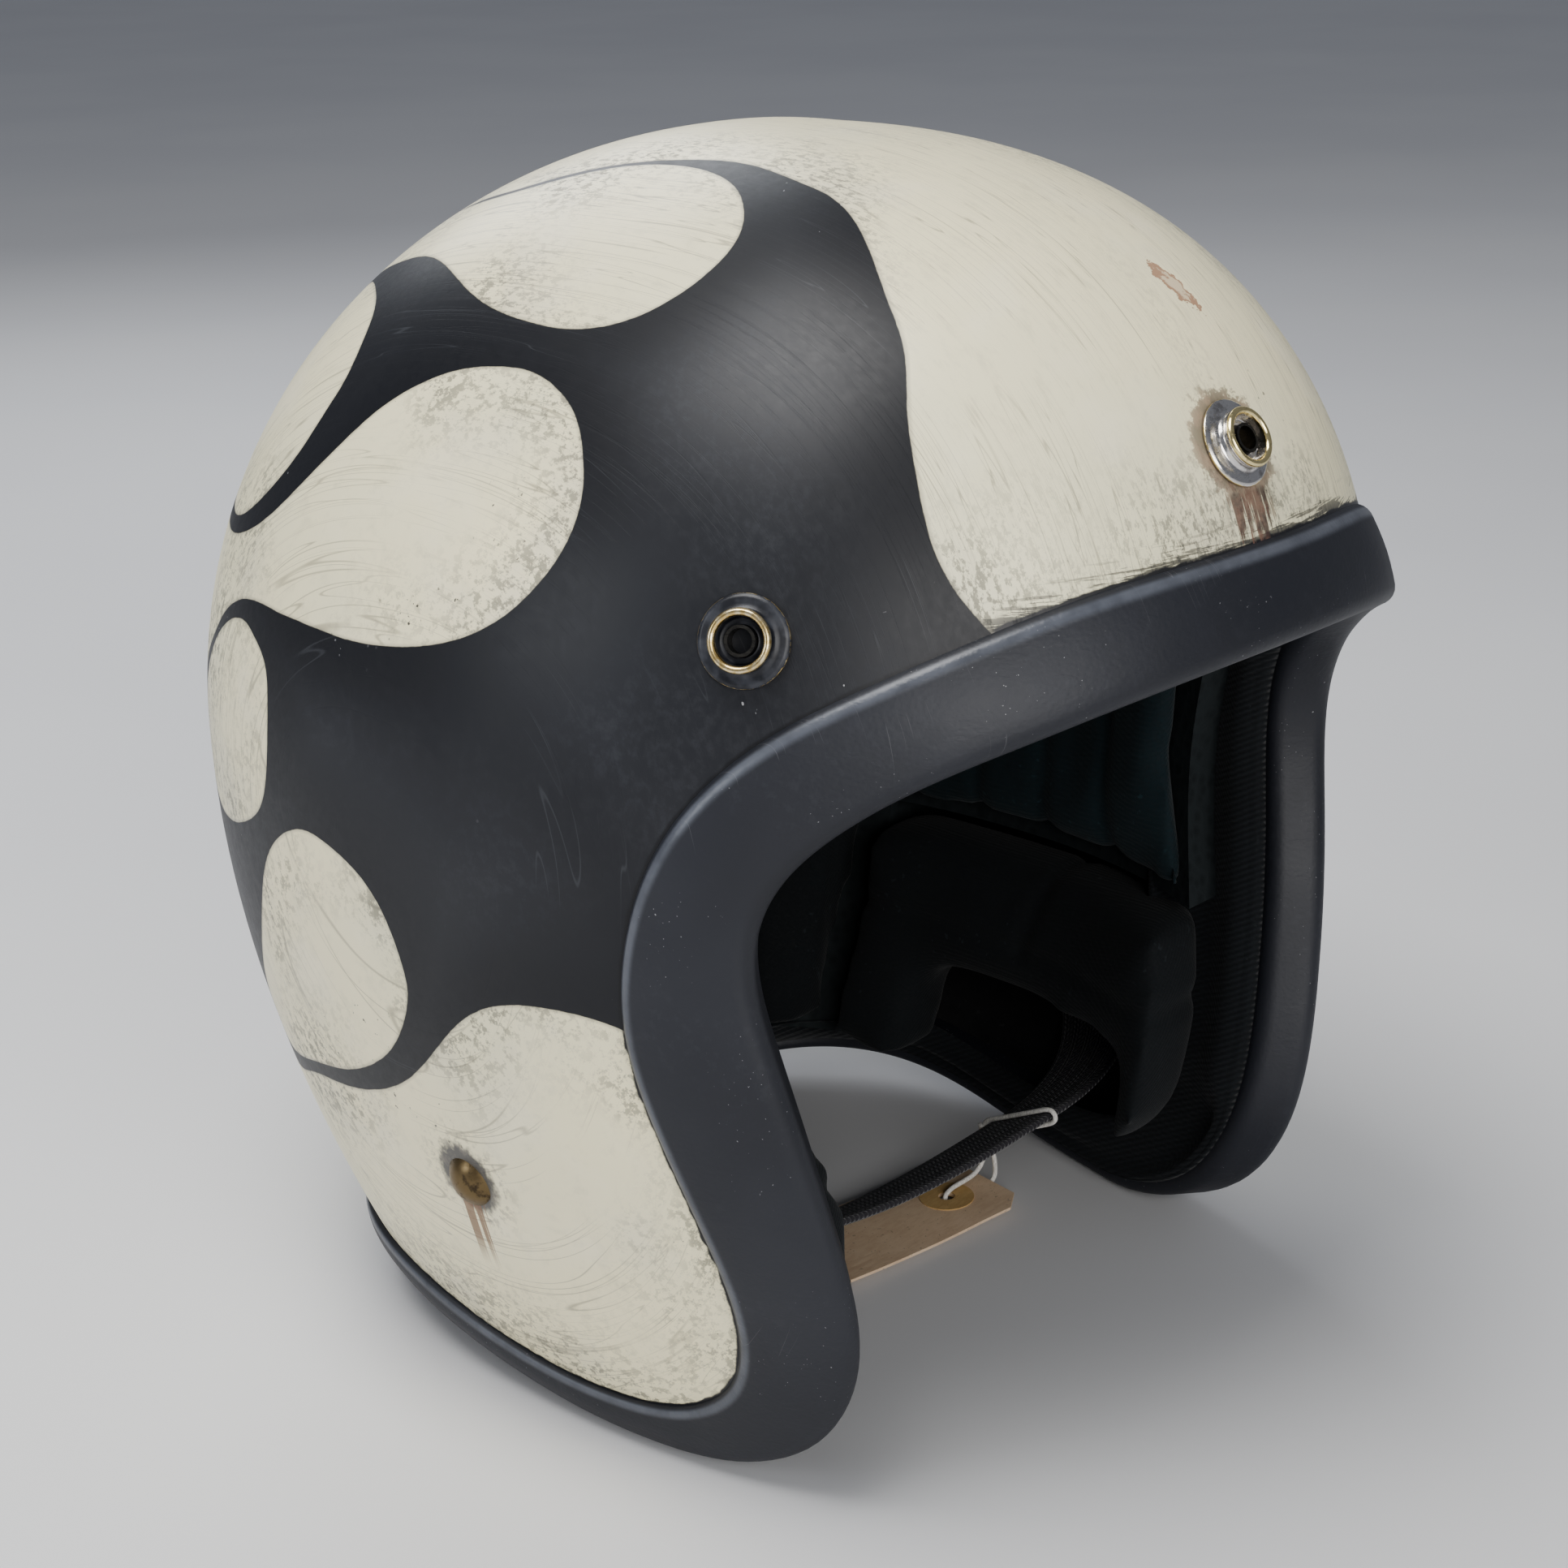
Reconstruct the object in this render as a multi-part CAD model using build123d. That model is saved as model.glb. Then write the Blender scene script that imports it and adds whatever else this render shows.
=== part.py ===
from build123d import *
import math
import os

os.makedirs("parts", exist_ok=True)

# ------------------------------------------------------------------
# Open-face motorcycle helmet. Millimetres, Z up, floor at z = 0.
# The face opening looks along -Y, the wearer's right side is -X.
# ------------------------------------------------------------------

# driving dimensions of the shell
HALF_WIDTH = 112.1      # at the widest level
FRONT = 127.3           # widest level to the brow, along -Y
REAR = 131.8            # widest level to the back, along +Y
CROWN = 126.8           # widest level to the top
LEVEL = 131.0           # height of the widest level over the floor
SIDE_TUCK = 15.3        # how far the sides come in, 95 mm below the widest level
REAR_TUCK = 24.7        # the same at the nape
SECTION_F = 2.10        # superellipse power of the level sections, front half
SECTION_R = 2.35        # rear half
PROFILE_S = 2.03        # power of the dome profile at the sides
PROFILE_F = 2.60        # at the brow
PROFILE_R = 2.00        # at the back
LOW = -150.0            # the construction surfaces run down to here

SKIN_N = 48             # points round a level section

SHELL_T = 4.0           # fibreglass wall
TRIM_OUT = 2.2          # trim outside the shell
TRIM_IN = 8.5           # depth of the trim measured from the shell's outer face
LINER_IN = 25.0         # inner face of the foam liner
PAD_IN = 32.0           # inner face of the comfort lining
CHEEK_IN = 36.0         # inner face of the cheek pads
STRAP_GAP = 16.0        # cheek pad's outer face: the strap runs between it and the shell

# side view of the shell/trim boundary, from the brow round the cheek to the nape
BOUNDARY = [(-150, 61.5), (-126, 61.2), (-116.2, 58.9), (-103.9, 52.6), (-91.1, 44.6), (-79.5, 36.6),
            (-70.9, 28.4), (-64.0, 19.0), (-58.5, 7.5), (-54.8, -6.0), (-53.4, -20.0), (-54.8, -34.0),
            (-58.6, -50.0), (-62.5, -66.0), (-65.0, -81.0), (-64.6, -93.0), (-60.6, -104.2), (-53.0, -112.0),
            (-43.0, -116.8), (-30.0, -118.9), (-14.0, -118.9), (2.0, -117.2), (18.5, -114.3), (34.0, -111.8),
            (52.0, -110.6), (72.0, -112.2), (90.0, -116.0), (106.0, -119.2), (150, -120.5)]
# side view of the trim's outer edge
EDGE = [(-150, 42.9), (-128, 42.7), (-121.4, 39.6), (-111.0, 33.6), (-100.0, 26.6), (-89.8, 18.2),
        (-82.0, 9.0), (-77.6, -2.0), (-77.2, -14.0), (-79.6, -28.0), (-83.0, -46.0), (-85.6, -64.0),
        (-87.0, -80.0), (-86.0, -94.0), (-81.5, -107.5), (-73.5, -118.5), (-62.0, -126.2), (-48.0, -130.2),
        (-34.0, -131.0), (-18.0, -130.4), (0.0, -128.2), (17.0, -125.2), (34.0, -122.6), (54.0, -121.6),
        (74.0, -124.0), (90.0, -128.4), (106.0, -130.8), (150, -131.0)]

SNAP_FRONT = (0.0, 76.9)         # x, height over the widest level
SNAP_SIDE = (-50.5, 51.2)        # degrees round from the front, height
SNAP_R = 8.5
SNAP_RING_O, SNAP_RING_I = 5.75, 4.35
SNAP_TUBE_O, SNAP_TUBE_I = 2.85, 2.25
SNAP_H = 4.4            # top of the ring over the shell

RIVET_Y, RIVET_Z = -7.0, -70.4   # chin strap rivet, both sides, one common axis
RIVET_R = 2.5
LONG_LEAN = 27.0                 # the long strap hangs this many degrees forward
STRAP_W = 22.0
STRAP_T = 2.0


def surf(phi, z, t=0.0):
    """point of the shell's outer surface, t mm inside it. phi from the front, +ve to -X"""
    s, c = math.sin(phi), math.cos(phi)
    front = c > 0
    n = SECTION_F if front else SECTION_R
    a, h = HALF_WIDTH - t, CROWN - t
    f = (FRONT if front else REAR) - t
    p = PROFILE_S * s * s + (PROFILE_F if front else PROFILE_R) * c * c
    if z > 0:
        k = max(0.0, 1 - min(1.0, z / h) ** p) ** (1 / p)
        a, f = a * k, f * k
    else:
        b = (z / 95.0) ** 2
        a -= SIDE_TUCK * b
        if not front:
            f -= REAR_TUCK * b
    if a < 1e-6 or f < 1e-6:
        return (0.0, 0.0, z + LEVEL)
    r = 1 / ((abs(s) / a) ** n + (abs(c) / f) ** n) ** (1 / n)
    return (-r * s, -r * c, z + LEVEL)


def dome(t, low=LOW, m=SKIN_N):
    """closed solid bounded by the surface t mm inside the shell's outer face"""
    h = CROWN - t
    levels = [low * (1 - k / 6) for k in range(6)]
    levels += [h * math.sin(math.radians(a)) for a in (0, 9, 18, 27, 36, 45, 53, 60, 66.5, 72, 77, 81, 84.5, 87.6)]
    wires = []
    for z in levels:
        pts = [Vector(*surf(2 * math.pi * (k + 0.5) / m, z, t)) for k in range(m)]
        wires.append(Wire([Edge.make_spline(pts, periodic=True)]))
    return Solid.make_loft(wires)


def prism(points, x0=-200.0, x1=200.0):
    """everything above and behind a side-view line, from x0 to x1"""
    with BuildSketch(Plane.YZ.offset(x0)) as sk:
        with BuildLine():
            Spline(*[(y, z + LEVEL) for y, z in points])
            Polyline((points[-1][0], points[-1][1] + LEVEL), (150, 330), (-150, 330),
                     (points[0][0], points[0][1] + LEVEL))
        make_face()
    return extrude(sk.sketch, x1 - x0)


def shifted(points, d):
    """the side-view line moved d mm towards the shell"""
    out = []
    for i, (y, z) in enumerate(points):
        a, b = points[max(0, i - 1)], points[min(len(points) - 1, i + 1)]
        ty, tz = b[0] - a[0], b[1] - a[1]
        m = math.hypot(ty, tz)
        out.append((y - tz / m * d, z + ty / m * d))
    out[0] = (points[0][0], points[0][1] + d)
    out[-1] = (points[-1][0], points[-1][1] + d)
    return out


def block(x0, x1, y0, y1, z0, z1):
    """a box by its faces, heights over the widest level"""
    return Pos((x0 + x1) / 2, (y0 + y1) / 2, (z0 + z1) / 2 + LEVEL) * Box(x1 - x0, y1 - y0, z1 - z0)


def normal(phi, z):
    e = 1e-3
    p = Vector(*surf(phi, z))
    a = Vector(*surf(phi + e, z)) - p
    b = Vector(*surf(phi, z + 0.05)) - p
    n = a.cross(b).normalized()
    return n if n.dot(p - Vector(0, 0, LEVEL)) > 0 else -n


def mirrored(shape):
    return mirror(shape, about=Plane.YZ)


# ------------------------------------------------------------------
# shell, trim, foam and linings
# ------------------------------------------------------------------
outer = dome(0)
inner = dome(SHELL_T)
inside = prism(BOUNDARY)
cut_edge = prism(shifted(EDGE, 3.4))

snap_places = [(0.0, SNAP_FRONT[1]), (math.radians(-SNAP_SIDE[0]), SNAP_SIDE[1]), (math.radians(SNAP_SIDE[0]), SNAP_SIDE[1])]
snap_planes = []
for phi, z in snap_places:
    snap_planes.append(Plane(origin=Vector(*surf(phi, z)), z_dir=normal(phi, z), x_dir=Vector(0, 0, 1)))

outer_shell = (outer - inner) & cut_edge
for pl in snap_planes:
    outer_shell -= pl * (Pos(0, 0, -3) * Cylinder(SNAP_TUBE_O + 0.1, 12))
for sgn in (-1, 1):
    ax = Plane(origin=(sgn * 96, RIVET_Y, RIVET_Z + LEVEL), z_dir=(sgn, 0, 0))
    outer_shell -= ax * Cylinder(RIVET_R + 0.1, 40)
    outer_shell -= ax * (Pos(0, 0, 6.6 + 5) * Cylinder(6.4, 10))
outer_shell = outer_shell.solid()

band_out = (dome(-TRIM_OUT) - dome(TRIM_IN)) & prism(EDGE)
edge_trim = band_out - inside - ((outer - inner) & cut_edge)
edge_trim = edge_trim.solids().sort_by(SortBy.VOLUME)[-1]

d25, d32 = dome(LINER_IN), dome(PAD_IN)
liner_side = prism(shifted(BOUNDARY, 0.6))
cheek_room = block(-130, 130, -75, 40, -140, -52)
foam_liner = (dome(SHELL_T + 0.3) - d25) & liner_side
foam_liner -= cheek_room

for pl in snap_planes:
    foam_liner -= pl * (Pos(0, 0, -6.2) * Cylinder(7.6, 5.6))
foam_liner = foam_liner.solids().sort_by(SortBy.VOLUME)[-1]

lining = (dome(LINER_IN + 0.3) - d32) & prism(shifted(BOUNDARY, 2.0))
crown_lining = (lining & block(-130, 130, -150, 150, 46, 140)).solids().sort_by(SortBy.VOLUME)[-1]
headband_lining = (lining & block(-130, 130, -150, 150, -51, 45.4)).solids().sort_by(SortBy.VOLUME)[-1]

roll = (dome(LINER_IN + 0.3) - dome(38.0)) & prism(shifted(BOUNDARY, 2.0))
neck_roll = (roll & block(-130, 130, 44, 150, -140, -51.6)).solids().sort_by(SortBy.VOLUME)[-1]

pads = (dome(STRAP_GAP) - dome(CHEEK_IN + 2.0)) & prism(shifted(BOUNDARY, 1.2))
pads = pads & block(-130, 130, -74, 39, -112, -53)
pads -= block(-130, 130, -50, 18, -140, -78)
pair = pads.solids().sort_by(SortBy.VOLUME)[-2:]
cheek_pad_left = [q for q in pair if q.center().X > 0][0]
cheek_pad_right = [q for q in pair if q.center().X < 0][0]

bind = (dome(TRIM_IN + 0.3) - dome(15.0)) & prism(shifted(BOUNDARY, -8.0))
lining_binding = (bind - prism(shifted(BOUNDARY, 0.6))).solids().sort_by(SortBy.VOLUME)[-1]

# ------------------------------------------------------------------
# visor snaps: flanged ring, eyelet through the shell, backing washer
# ------------------------------------------------------------------
def stud():
    with BuildPart() as p:
        with BuildSketch(Plane.XZ):
            with BuildLine():
                Polyline((SNAP_TUBE_O + 0.02, 0.05), (SNAP_R, 0.05), (SNAP_R, 0.75), (SNAP_R - 0.7, 1.15),
                         (SNAP_RING_O, 1.3), (SNAP_RING_O, SNAP_H - 0.5), (SNAP_RING_O - 0.4, SNAP_H),
                         (SNAP_RING_I + 0.3, SNAP_H), (SNAP_RING_I, SNAP_H - 0.4), (SNAP_RING_I, 1.7),
                         (SNAP_TUBE_O + 0.02, 1.7), close=True)
            make_face()
        revolve(axis=Axis.Z)
    return p.part


def eyelet():
    tube = Pos(0, 0, -1.75) * Cylinder(SNAP_TUBE_O, 10.1) - Pos(0, 0, -1.75) * Cylinder(SNAP_TUBE_I, 20)
    clench = Pos(0, 0, -6.4) * Cylinder(4.0, 0.8) - Pos(0, 0, -6.4) * Cylinder(SNAP_TUBE_I, 20)
    return (tube + clench).solid()


def backing():
    return (Pos(0, 0, -5.2) * Cylinder(6.5, 1.4) - Pos(0, 0, -5.2) * Cylinder(SNAP_TUBE_O + 0.05, 20)).solid()


snap_stud_front, snap_stud_right, snap_stud_left = [pl * stud() for pl in snap_planes]
snap_eyelets = Compound([pl * eyelet() for pl in snap_planes])
snap_backings = Compound([pl * backing() for pl in snap_planes])

# ------------------------------------------------------------------
# chin strap: rivets, spacers, clench washers, hangers, webbing, rings
# ------------------------------------------------------------------
RIVET_AXIS_Z = RIVET_Z + LEVEL


def on_axis(x, r, length, bore=0.0):
    """ring on the left rivet's axis from x, running inboard"""
    c = Plane(origin=(x - length / 2, RIVET_Y, RIVET_AXIS_Z), z_dir=(1, 0, 0))
    q = c * Cylinder(r, length)
    if bore:
        q -= c * Cylinder(bore, length + 2)
    return q.solid()


def rivet():
    head = Plane(origin=(102.7, RIVET_Y, RIVET_AXIS_Z), z_dir=(1, 0, 0)) * (Pos(0, 0, -3.54) * Sphere(7.14))
    head &= block(102.7, 110, -30, 20, -100, -40)
    shank = on_axis(102.9, RIVET_R, 14.1)
    return (head + shank).solid()


strap_rivet_left = rivet()
strap_rivet_right = mirrored(strap_rivet_left)
sp = on_axis(98.2, 5.0, 5.6, RIVET_R + 0.04)
rivet_spacers = Compound([sp, mirrored(sp)])
cw = on_axis(90.5, 4.6, 1.3, RIVET_R + 0.02)
clench_washers = Compound([cw, mirrored(cw)])


def hanger():
    """steel tongue on the left rivet, hanging plumb"""
    c = Plane(origin=(91.55, RIVET_Y, RIVET_AXIS_Z), x_dir=(0, 1, 0), z_dir=(1, 0, 0))
    with BuildPart() as p:
        with BuildSketch(c):
            with Locations((0, -2)):
                RectangleRounded(18, 21, 6)
            Circle(RIVET_R + 0.06, mode=Mode.SUBTRACT)
        extrude(amount=0.75, both=True)
    return p.part.solid()


def webbing(points, width, t):
    """flat strap hanging plumb from the left rivet: points are (x, drop)"""
    pts = [(x, RIVET_AXIS_Z - s) for x, s in points]
    with BuildPart() as p:
        with BuildSketch(Plane.XZ.offset(-RIVET_Y)):
            with BuildLine() as ln:
                Spline(*pts)
            trace(ln.line, line_width=t)
        extrude(amount=width / 2, both=True)
    return p.part.solid()


LONG_PATH = [(89.7, 7), (89.8, 14), (89.4, 20), (87.6, 26), (82.0, 34), (70.0, 40.3), (45.0, 43.6), (15.0, 44.4),
             (-12.0, 43.4), (-38.0, 39.6)]
SHORT_PATH = [(89.7, 7), (89.8, 14), (89.2, 19), (86.0, 25.5), (78.0, 31.0), (66.6, 34.2)]

lean = Axis((0, RIVET_Y, RIVET_AXIS_Z), (1, 0, 0))
# a lean forward turns the hanging strap towards -Y
FORWARD = -LONG_LEAN
strap_hanger_left = hanger().rotate(lean, FORWARD)
strap_hanger_right = mirrored(hanger())
strap_long = webbing(LONG_PATH, STRAP_W, STRAP_T).rotate(lean, FORWARD)

LOOP_X, LOOP_S = 61.0, 34.4


def short_strap():
    body = webbing(SHORT_PATH, STRAP_W, STRAP_T)
    with BuildPart() as p:
        with BuildSketch(Plane.XZ.offset(-RIVET_Y)):
            with Locations((LOOP_X, RIVET_AXIS_Z - LOOP_S)):
                SlotOverall(12.0, 7.8)
                SlotOverall(8.0, 3.8, mode=Mode.SUBTRACT)
        extrude(amount=STRAP_W / 2, both=True)
    return (body + p.part).solid()


strap_short = mirrored(short_strap())


def d_ring(x):
    """D of round wire, straight bar along Y through the loop at x, curve hanging below"""
    z = RIVET_AXIS_Z - LOOP_S
    hw, arm, r = 14.6, 6.4, 2.6
    k = r * (1 - math.sqrt(0.5))
    with BuildPart() as p:
        with BuildLine():
            y0, y1 = RIVET_Y - hw, RIVET_Y + hw
            Line((x, RIVET_Y, z), (x, y1 - r, z))
            ThreePointArc((x, y1 - r, z), (x, y1 - k, z - k), (x, y1, z - r))
            Line((x, y1, z - r), (x, y1, z - arm))
            ThreePointArc((x, y1, z - arm), (x, RIVET_Y, z - arm - hw), (x, y0, z - arm))
            Line((x, y0, z - arm), (x, y0, z - r))
            ThreePointArc((x, y0, z - r), (x, y0 + k, z - k), (x, y0 + r, z))
            Line((x, y0 + r, z), (x, RIVET_Y, z))
        with BuildSketch(Plane(origin=(x, RIVET_Y, z), z_dir=(0, 1, 0))):
            Circle(1.6)
        sweep()
    return p.part.solid()


d_ring_outer = d_ring(-LOOP_X - 2.1)
d_ring_inner = d_ring(-LOOP_X + 2.1)

# keeper snap at the long strap's free end, in the strap's plane
kx, ks = -26.0, 41.6
kz = RIVET_AXIS_Z - ks
tilt = math.degrees(math.atan2(3.8, 26.0))
kp = Plane(origin=(kx, RIVET_Y, kz), z_dir=(math.sin(math.radians(tilt)), 0, math.cos(math.radians(tilt))))
cap = kp * (Pos(0, 0, 1.75) * Cylinder(6.2, 1.3))
cap += kp * (Pos(0, 0, -2.2) * Cylinder(3.0, 2.0))
cap += kp * Cylinder(1.5, 4.0)
keeper_snap = cap.solid().rotate(lean, FORWARD)
strap_long -= (kp * Cylinder(1.55, 12)).rotate(lean, FORWARD)
strap_long = strap_long.solid()

# rivets that hold the webbing to the hangers
hang_rivet = (Plane(origin=(90.3, RIVET_Y, RIVET_AXIS_Z - 10.2), z_dir=(1, 0, 0)) * Cylinder(1.9, 4.6)).solid()
bore = Plane(origin=(90.3, RIVET_Y, RIVET_AXIS_Z - 10.2), z_dir=(1, 0, 0)) * Cylinder(1.95, 20)
hanger_rivet_left = hang_rivet.rotate(lean, FORWARD)
hanger_rivet_right = mirrored(hang_rivet)
strap_hanger_left = (strap_hanger_left - bore.rotate(lean, FORWARD)).solid()
strap_long = (strap_long - bore.rotate(lean, FORWARD)).solid()
strap_hanger_right = (strap_hanger_right - mirrored(bore)).solid()
strap_short = (strap_short - mirrored(bore)).solid()

# ------------------------------------------------------------------
# hang tag on its string
# ------------------------------------------------------------------
TAG_L, TAG_W, TAG_T = 75.0, 28.0, 0.7
TAG_Z = 1.3
TAG_ANGLE = -7.0
TAG_END = (48.9, -16.4)
HOLE_IN = 13.3
tag_plane = Plane(origin=(TAG_END[0], TAG_END[1], TAG_Z), x_dir=(-math.cos(math.radians(TAG_ANGLE)), -math.sin(math.radians(TAG_ANGLE)), 0), z_dir=(0, 0, 1))
with BuildPart() as tg:
    with BuildSketch(tag_plane):
        with BuildLine():
            w = TAG_W / 2
            Polyline((0, -w + 4.5), (5.5, -w), (TAG_L, -w), (TAG_L, w), (5.5, w), (0, w - 4.5), close=True)
        make_face()
        with Locations((HOLE_IN, 0)):
            Circle(2.0, mode=Mode.SUBTRACT)
    extrude(amount=TAG_T)
hang_tag = tg.part.solid()

patches = []
for z0 in (TAG_Z - 0.3, TAG_Z + TAG_T + 0.02):
    with BuildPart() as pt:
        with BuildSketch(tag_plane.offset(z0 - TAG_Z)):
            with Locations((HOLE_IN, 0)):
                Circle(6.6)
                Circle(2.0, mode=Mode.SUBTRACT)
        extrude(amount=0.28)
    patches.append(pt.part.solid())
tag_patches = Compound(patches)

hole = tag_plane.from_local_coords((HOLE_IN, 0, 0))
STRING_R = 0.6
KNOT = (48.0, -16.9, -114.3 + LEVEL)
with BuildPart() as st:
    with BuildLine():
        FilletPolyline((KNOT[0], KNOT[1], KNOT[2] - 0.6), (49.6, -16.2, 4.2), (hole.X, hole.Y, 3.2), radius=1.5)
    with BuildSketch(Plane(origin=(KNOT[0], KNOT[1], KNOT[2] - 0.6), z_dir=Vector(49.6 - KNOT[0], -16.2 - KNOT[1], 4.2 - KNOT[2] + 0.6).normalized())):
        Circle(STRING_R)
    sweep()
tag_string = st.part.solid()
string_knot = Pos(KNOT[0], KNOT[1] + 1.6, KNOT[2] - 1.6) * Sphere(1.5)
string_knot = (string_knot - tag_string).solids().sort_by(SortBy.VOLUME)[-1]

# the lowest point stands on the floor and the length is centred on the origin
SHIFT_Y = -2.558
pieces = dict(
    outer_shell=outer_shell, edge_trim=edge_trim, foam_liner=foam_liner, crown_lining=crown_lining,
    headband_lining=headband_lining, neck_roll=neck_roll, cheek_pad_left=cheek_pad_left,
    cheek_pad_right=cheek_pad_right, lining_binding=lining_binding, snap_stud_front=snap_stud_front,
    snap_stud_right=snap_stud_right, snap_stud_left=snap_stud_left, snap_eyelets=snap_eyelets,
    snap_backings=snap_backings, strap_rivet_left=strap_rivet_left, strap_rivet_right=strap_rivet_right,
    rivet_spacers=rivet_spacers, clench_washers=clench_washers, strap_hanger_left=strap_hanger_left,
    strap_hanger_right=strap_hanger_right, hanger_rivet_left=hanger_rivet_left,
    hanger_rivet_right=hanger_rivet_right, strap_long=strap_long, strap_short=strap_short,
    d_ring_outer=d_ring_outer, d_ring_inner=d_ring_inner, keeper_snap=keeper_snap, hang_tag=hang_tag,
    tag_patches=tag_patches, tag_string=tag_string, string_knot=string_knot,
)
for name, shape in pieces.items():
    export_step(Pos(0, SHIFT_Y, 0) * shape, f"parts/{name}.step")
lo = [min(getattr(s.bounding_box().min, a) for s in pieces.values()) for a in "XYZ"]
hi = [max(getattr(s.bounding_box().max, a) for s in pieces.values()) for a in "XYZ"]
print("bounds", lo, hi)
for name, shape in pieces.items():
    print(name, "ok" if shape.is_valid else "BAD", round(shape.volume), len(shape.solids()))
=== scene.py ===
import math

import bmesh
import bpy
import numpy as np
from mathutils import Matrix, Vector


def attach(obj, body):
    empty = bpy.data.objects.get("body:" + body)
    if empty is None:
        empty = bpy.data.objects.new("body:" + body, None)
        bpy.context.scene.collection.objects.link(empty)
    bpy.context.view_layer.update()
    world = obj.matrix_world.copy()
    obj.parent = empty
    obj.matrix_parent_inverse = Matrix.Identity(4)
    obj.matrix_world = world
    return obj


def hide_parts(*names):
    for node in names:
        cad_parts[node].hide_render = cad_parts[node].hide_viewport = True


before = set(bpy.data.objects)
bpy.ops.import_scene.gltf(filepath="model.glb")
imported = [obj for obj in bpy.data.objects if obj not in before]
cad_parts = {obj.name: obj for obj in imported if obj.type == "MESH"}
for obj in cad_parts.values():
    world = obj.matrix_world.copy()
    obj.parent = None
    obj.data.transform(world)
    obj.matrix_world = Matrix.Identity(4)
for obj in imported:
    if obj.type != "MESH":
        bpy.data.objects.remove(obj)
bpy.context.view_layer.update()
RNG = np.random.default_rng(7)

# ------------------------------------------------------------------
# the shell's form, as the CAD has it: millimetres, z over the widest level
# ------------------------------------------------------------------
HALF_WIDTH, FRONT, REAR, CROWN, LEVEL = 112.1, 127.3, 131.8, 126.8, 131.0
SIDE_TUCK, REAR_TUCK = 15.3, 24.7
SECTION_F, SECTION_R = 2.10, 2.35
PROFILE_S, PROFILE_F, PROFILE_R = 2.03, 2.60, 2.00
SHIFT_Y = -2.558

BOUNDARY = [(-150, 61.5), (-126, 61.2), (-116.2, 58.9), (-103.9, 52.6), (-91.1, 44.6), (-79.5, 36.6),
            (-70.9, 28.4), (-64.0, 19.0), (-58.5, 7.5), (-54.8, -6.0), (-53.4, -20.0), (-54.8, -34.0),
            (-58.6, -50.0), (-62.5, -66.0), (-65.0, -81.0), (-64.6, -93.0), (-60.6, -104.2), (-53.0, -112.0),
            (-43.0, -116.8), (-30.0, -118.9), (-14.0, -118.9), (2.0, -117.2), (18.5, -114.3), (34.0, -111.8),
            (52.0, -110.6), (72.0, -112.2), (90.0, -116.0), (106.0, -119.2), (150, -120.5)]
EDGE = [(-150, 42.9), (-128, 42.7), (-121.4, 39.6), (-111.0, 33.6), (-100.0, 26.6), (-89.8, 18.2),
        (-82.0, 9.0), (-77.6, -2.0), (-77.2, -14.0), (-79.6, -28.0), (-83.0, -46.0), (-85.6, -64.0),
        (-87.0, -80.0), (-86.0, -94.0), (-81.5, -107.5), (-73.5, -118.5), (-62.0, -126.2), (-48.0, -130.2),
        (-34.0, -131.0), (-18.0, -130.4), (0.0, -128.2), (17.0, -125.2), (34.0, -122.6), (54.0, -121.6),
        (74.0, -124.0), (90.0, -128.4), (106.0, -130.8), (150, -131.0)]


def surf(phi, z, t=0.0):
    """points of the surface t mm inside the shell's outer face; phi from the front, +ve to -X"""
    phi, z, t = np.broadcast_arrays(np.asarray(phi, float), np.asarray(z, float), np.asarray(t, float))
    s, c = np.sin(phi), np.cos(phi)
    front = c > 0
    n = np.where(front, SECTION_F, SECTION_R)
    a, h = HALF_WIDTH - t, CROWN - t
    f = np.where(front, FRONT, REAR) - t
    p = PROFILE_S * s * s + np.where(front, PROFILE_F, PROFILE_R) * c * c
    k = np.where(z > 0, np.maximum(1e-12, 1 - np.clip(z / h, 0, 1) ** p) ** (1 / p), 1.0)
    b = np.where(z > 0, 0.0, (z / 95.0) ** 2)
    a = np.maximum(a * k - SIDE_TUCK * b, 1e-5)
    f = np.maximum(f * k - np.where(front, 0.0, REAR_TUCK * b), 1e-5)
    r = 1 / ((np.abs(s) / a) ** n + (np.abs(c) / f) ** n) ** (1 / n)
    return np.stack([-r * s, -r * c, z + 0 * r], -1)


def metres(p):
    """millimetres over the widest level to the row frame"""
    p = np.asarray(p, float)
    return (p + np.array([0.0, SHIFT_Y, LEVEL])) / 1000.0


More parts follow.
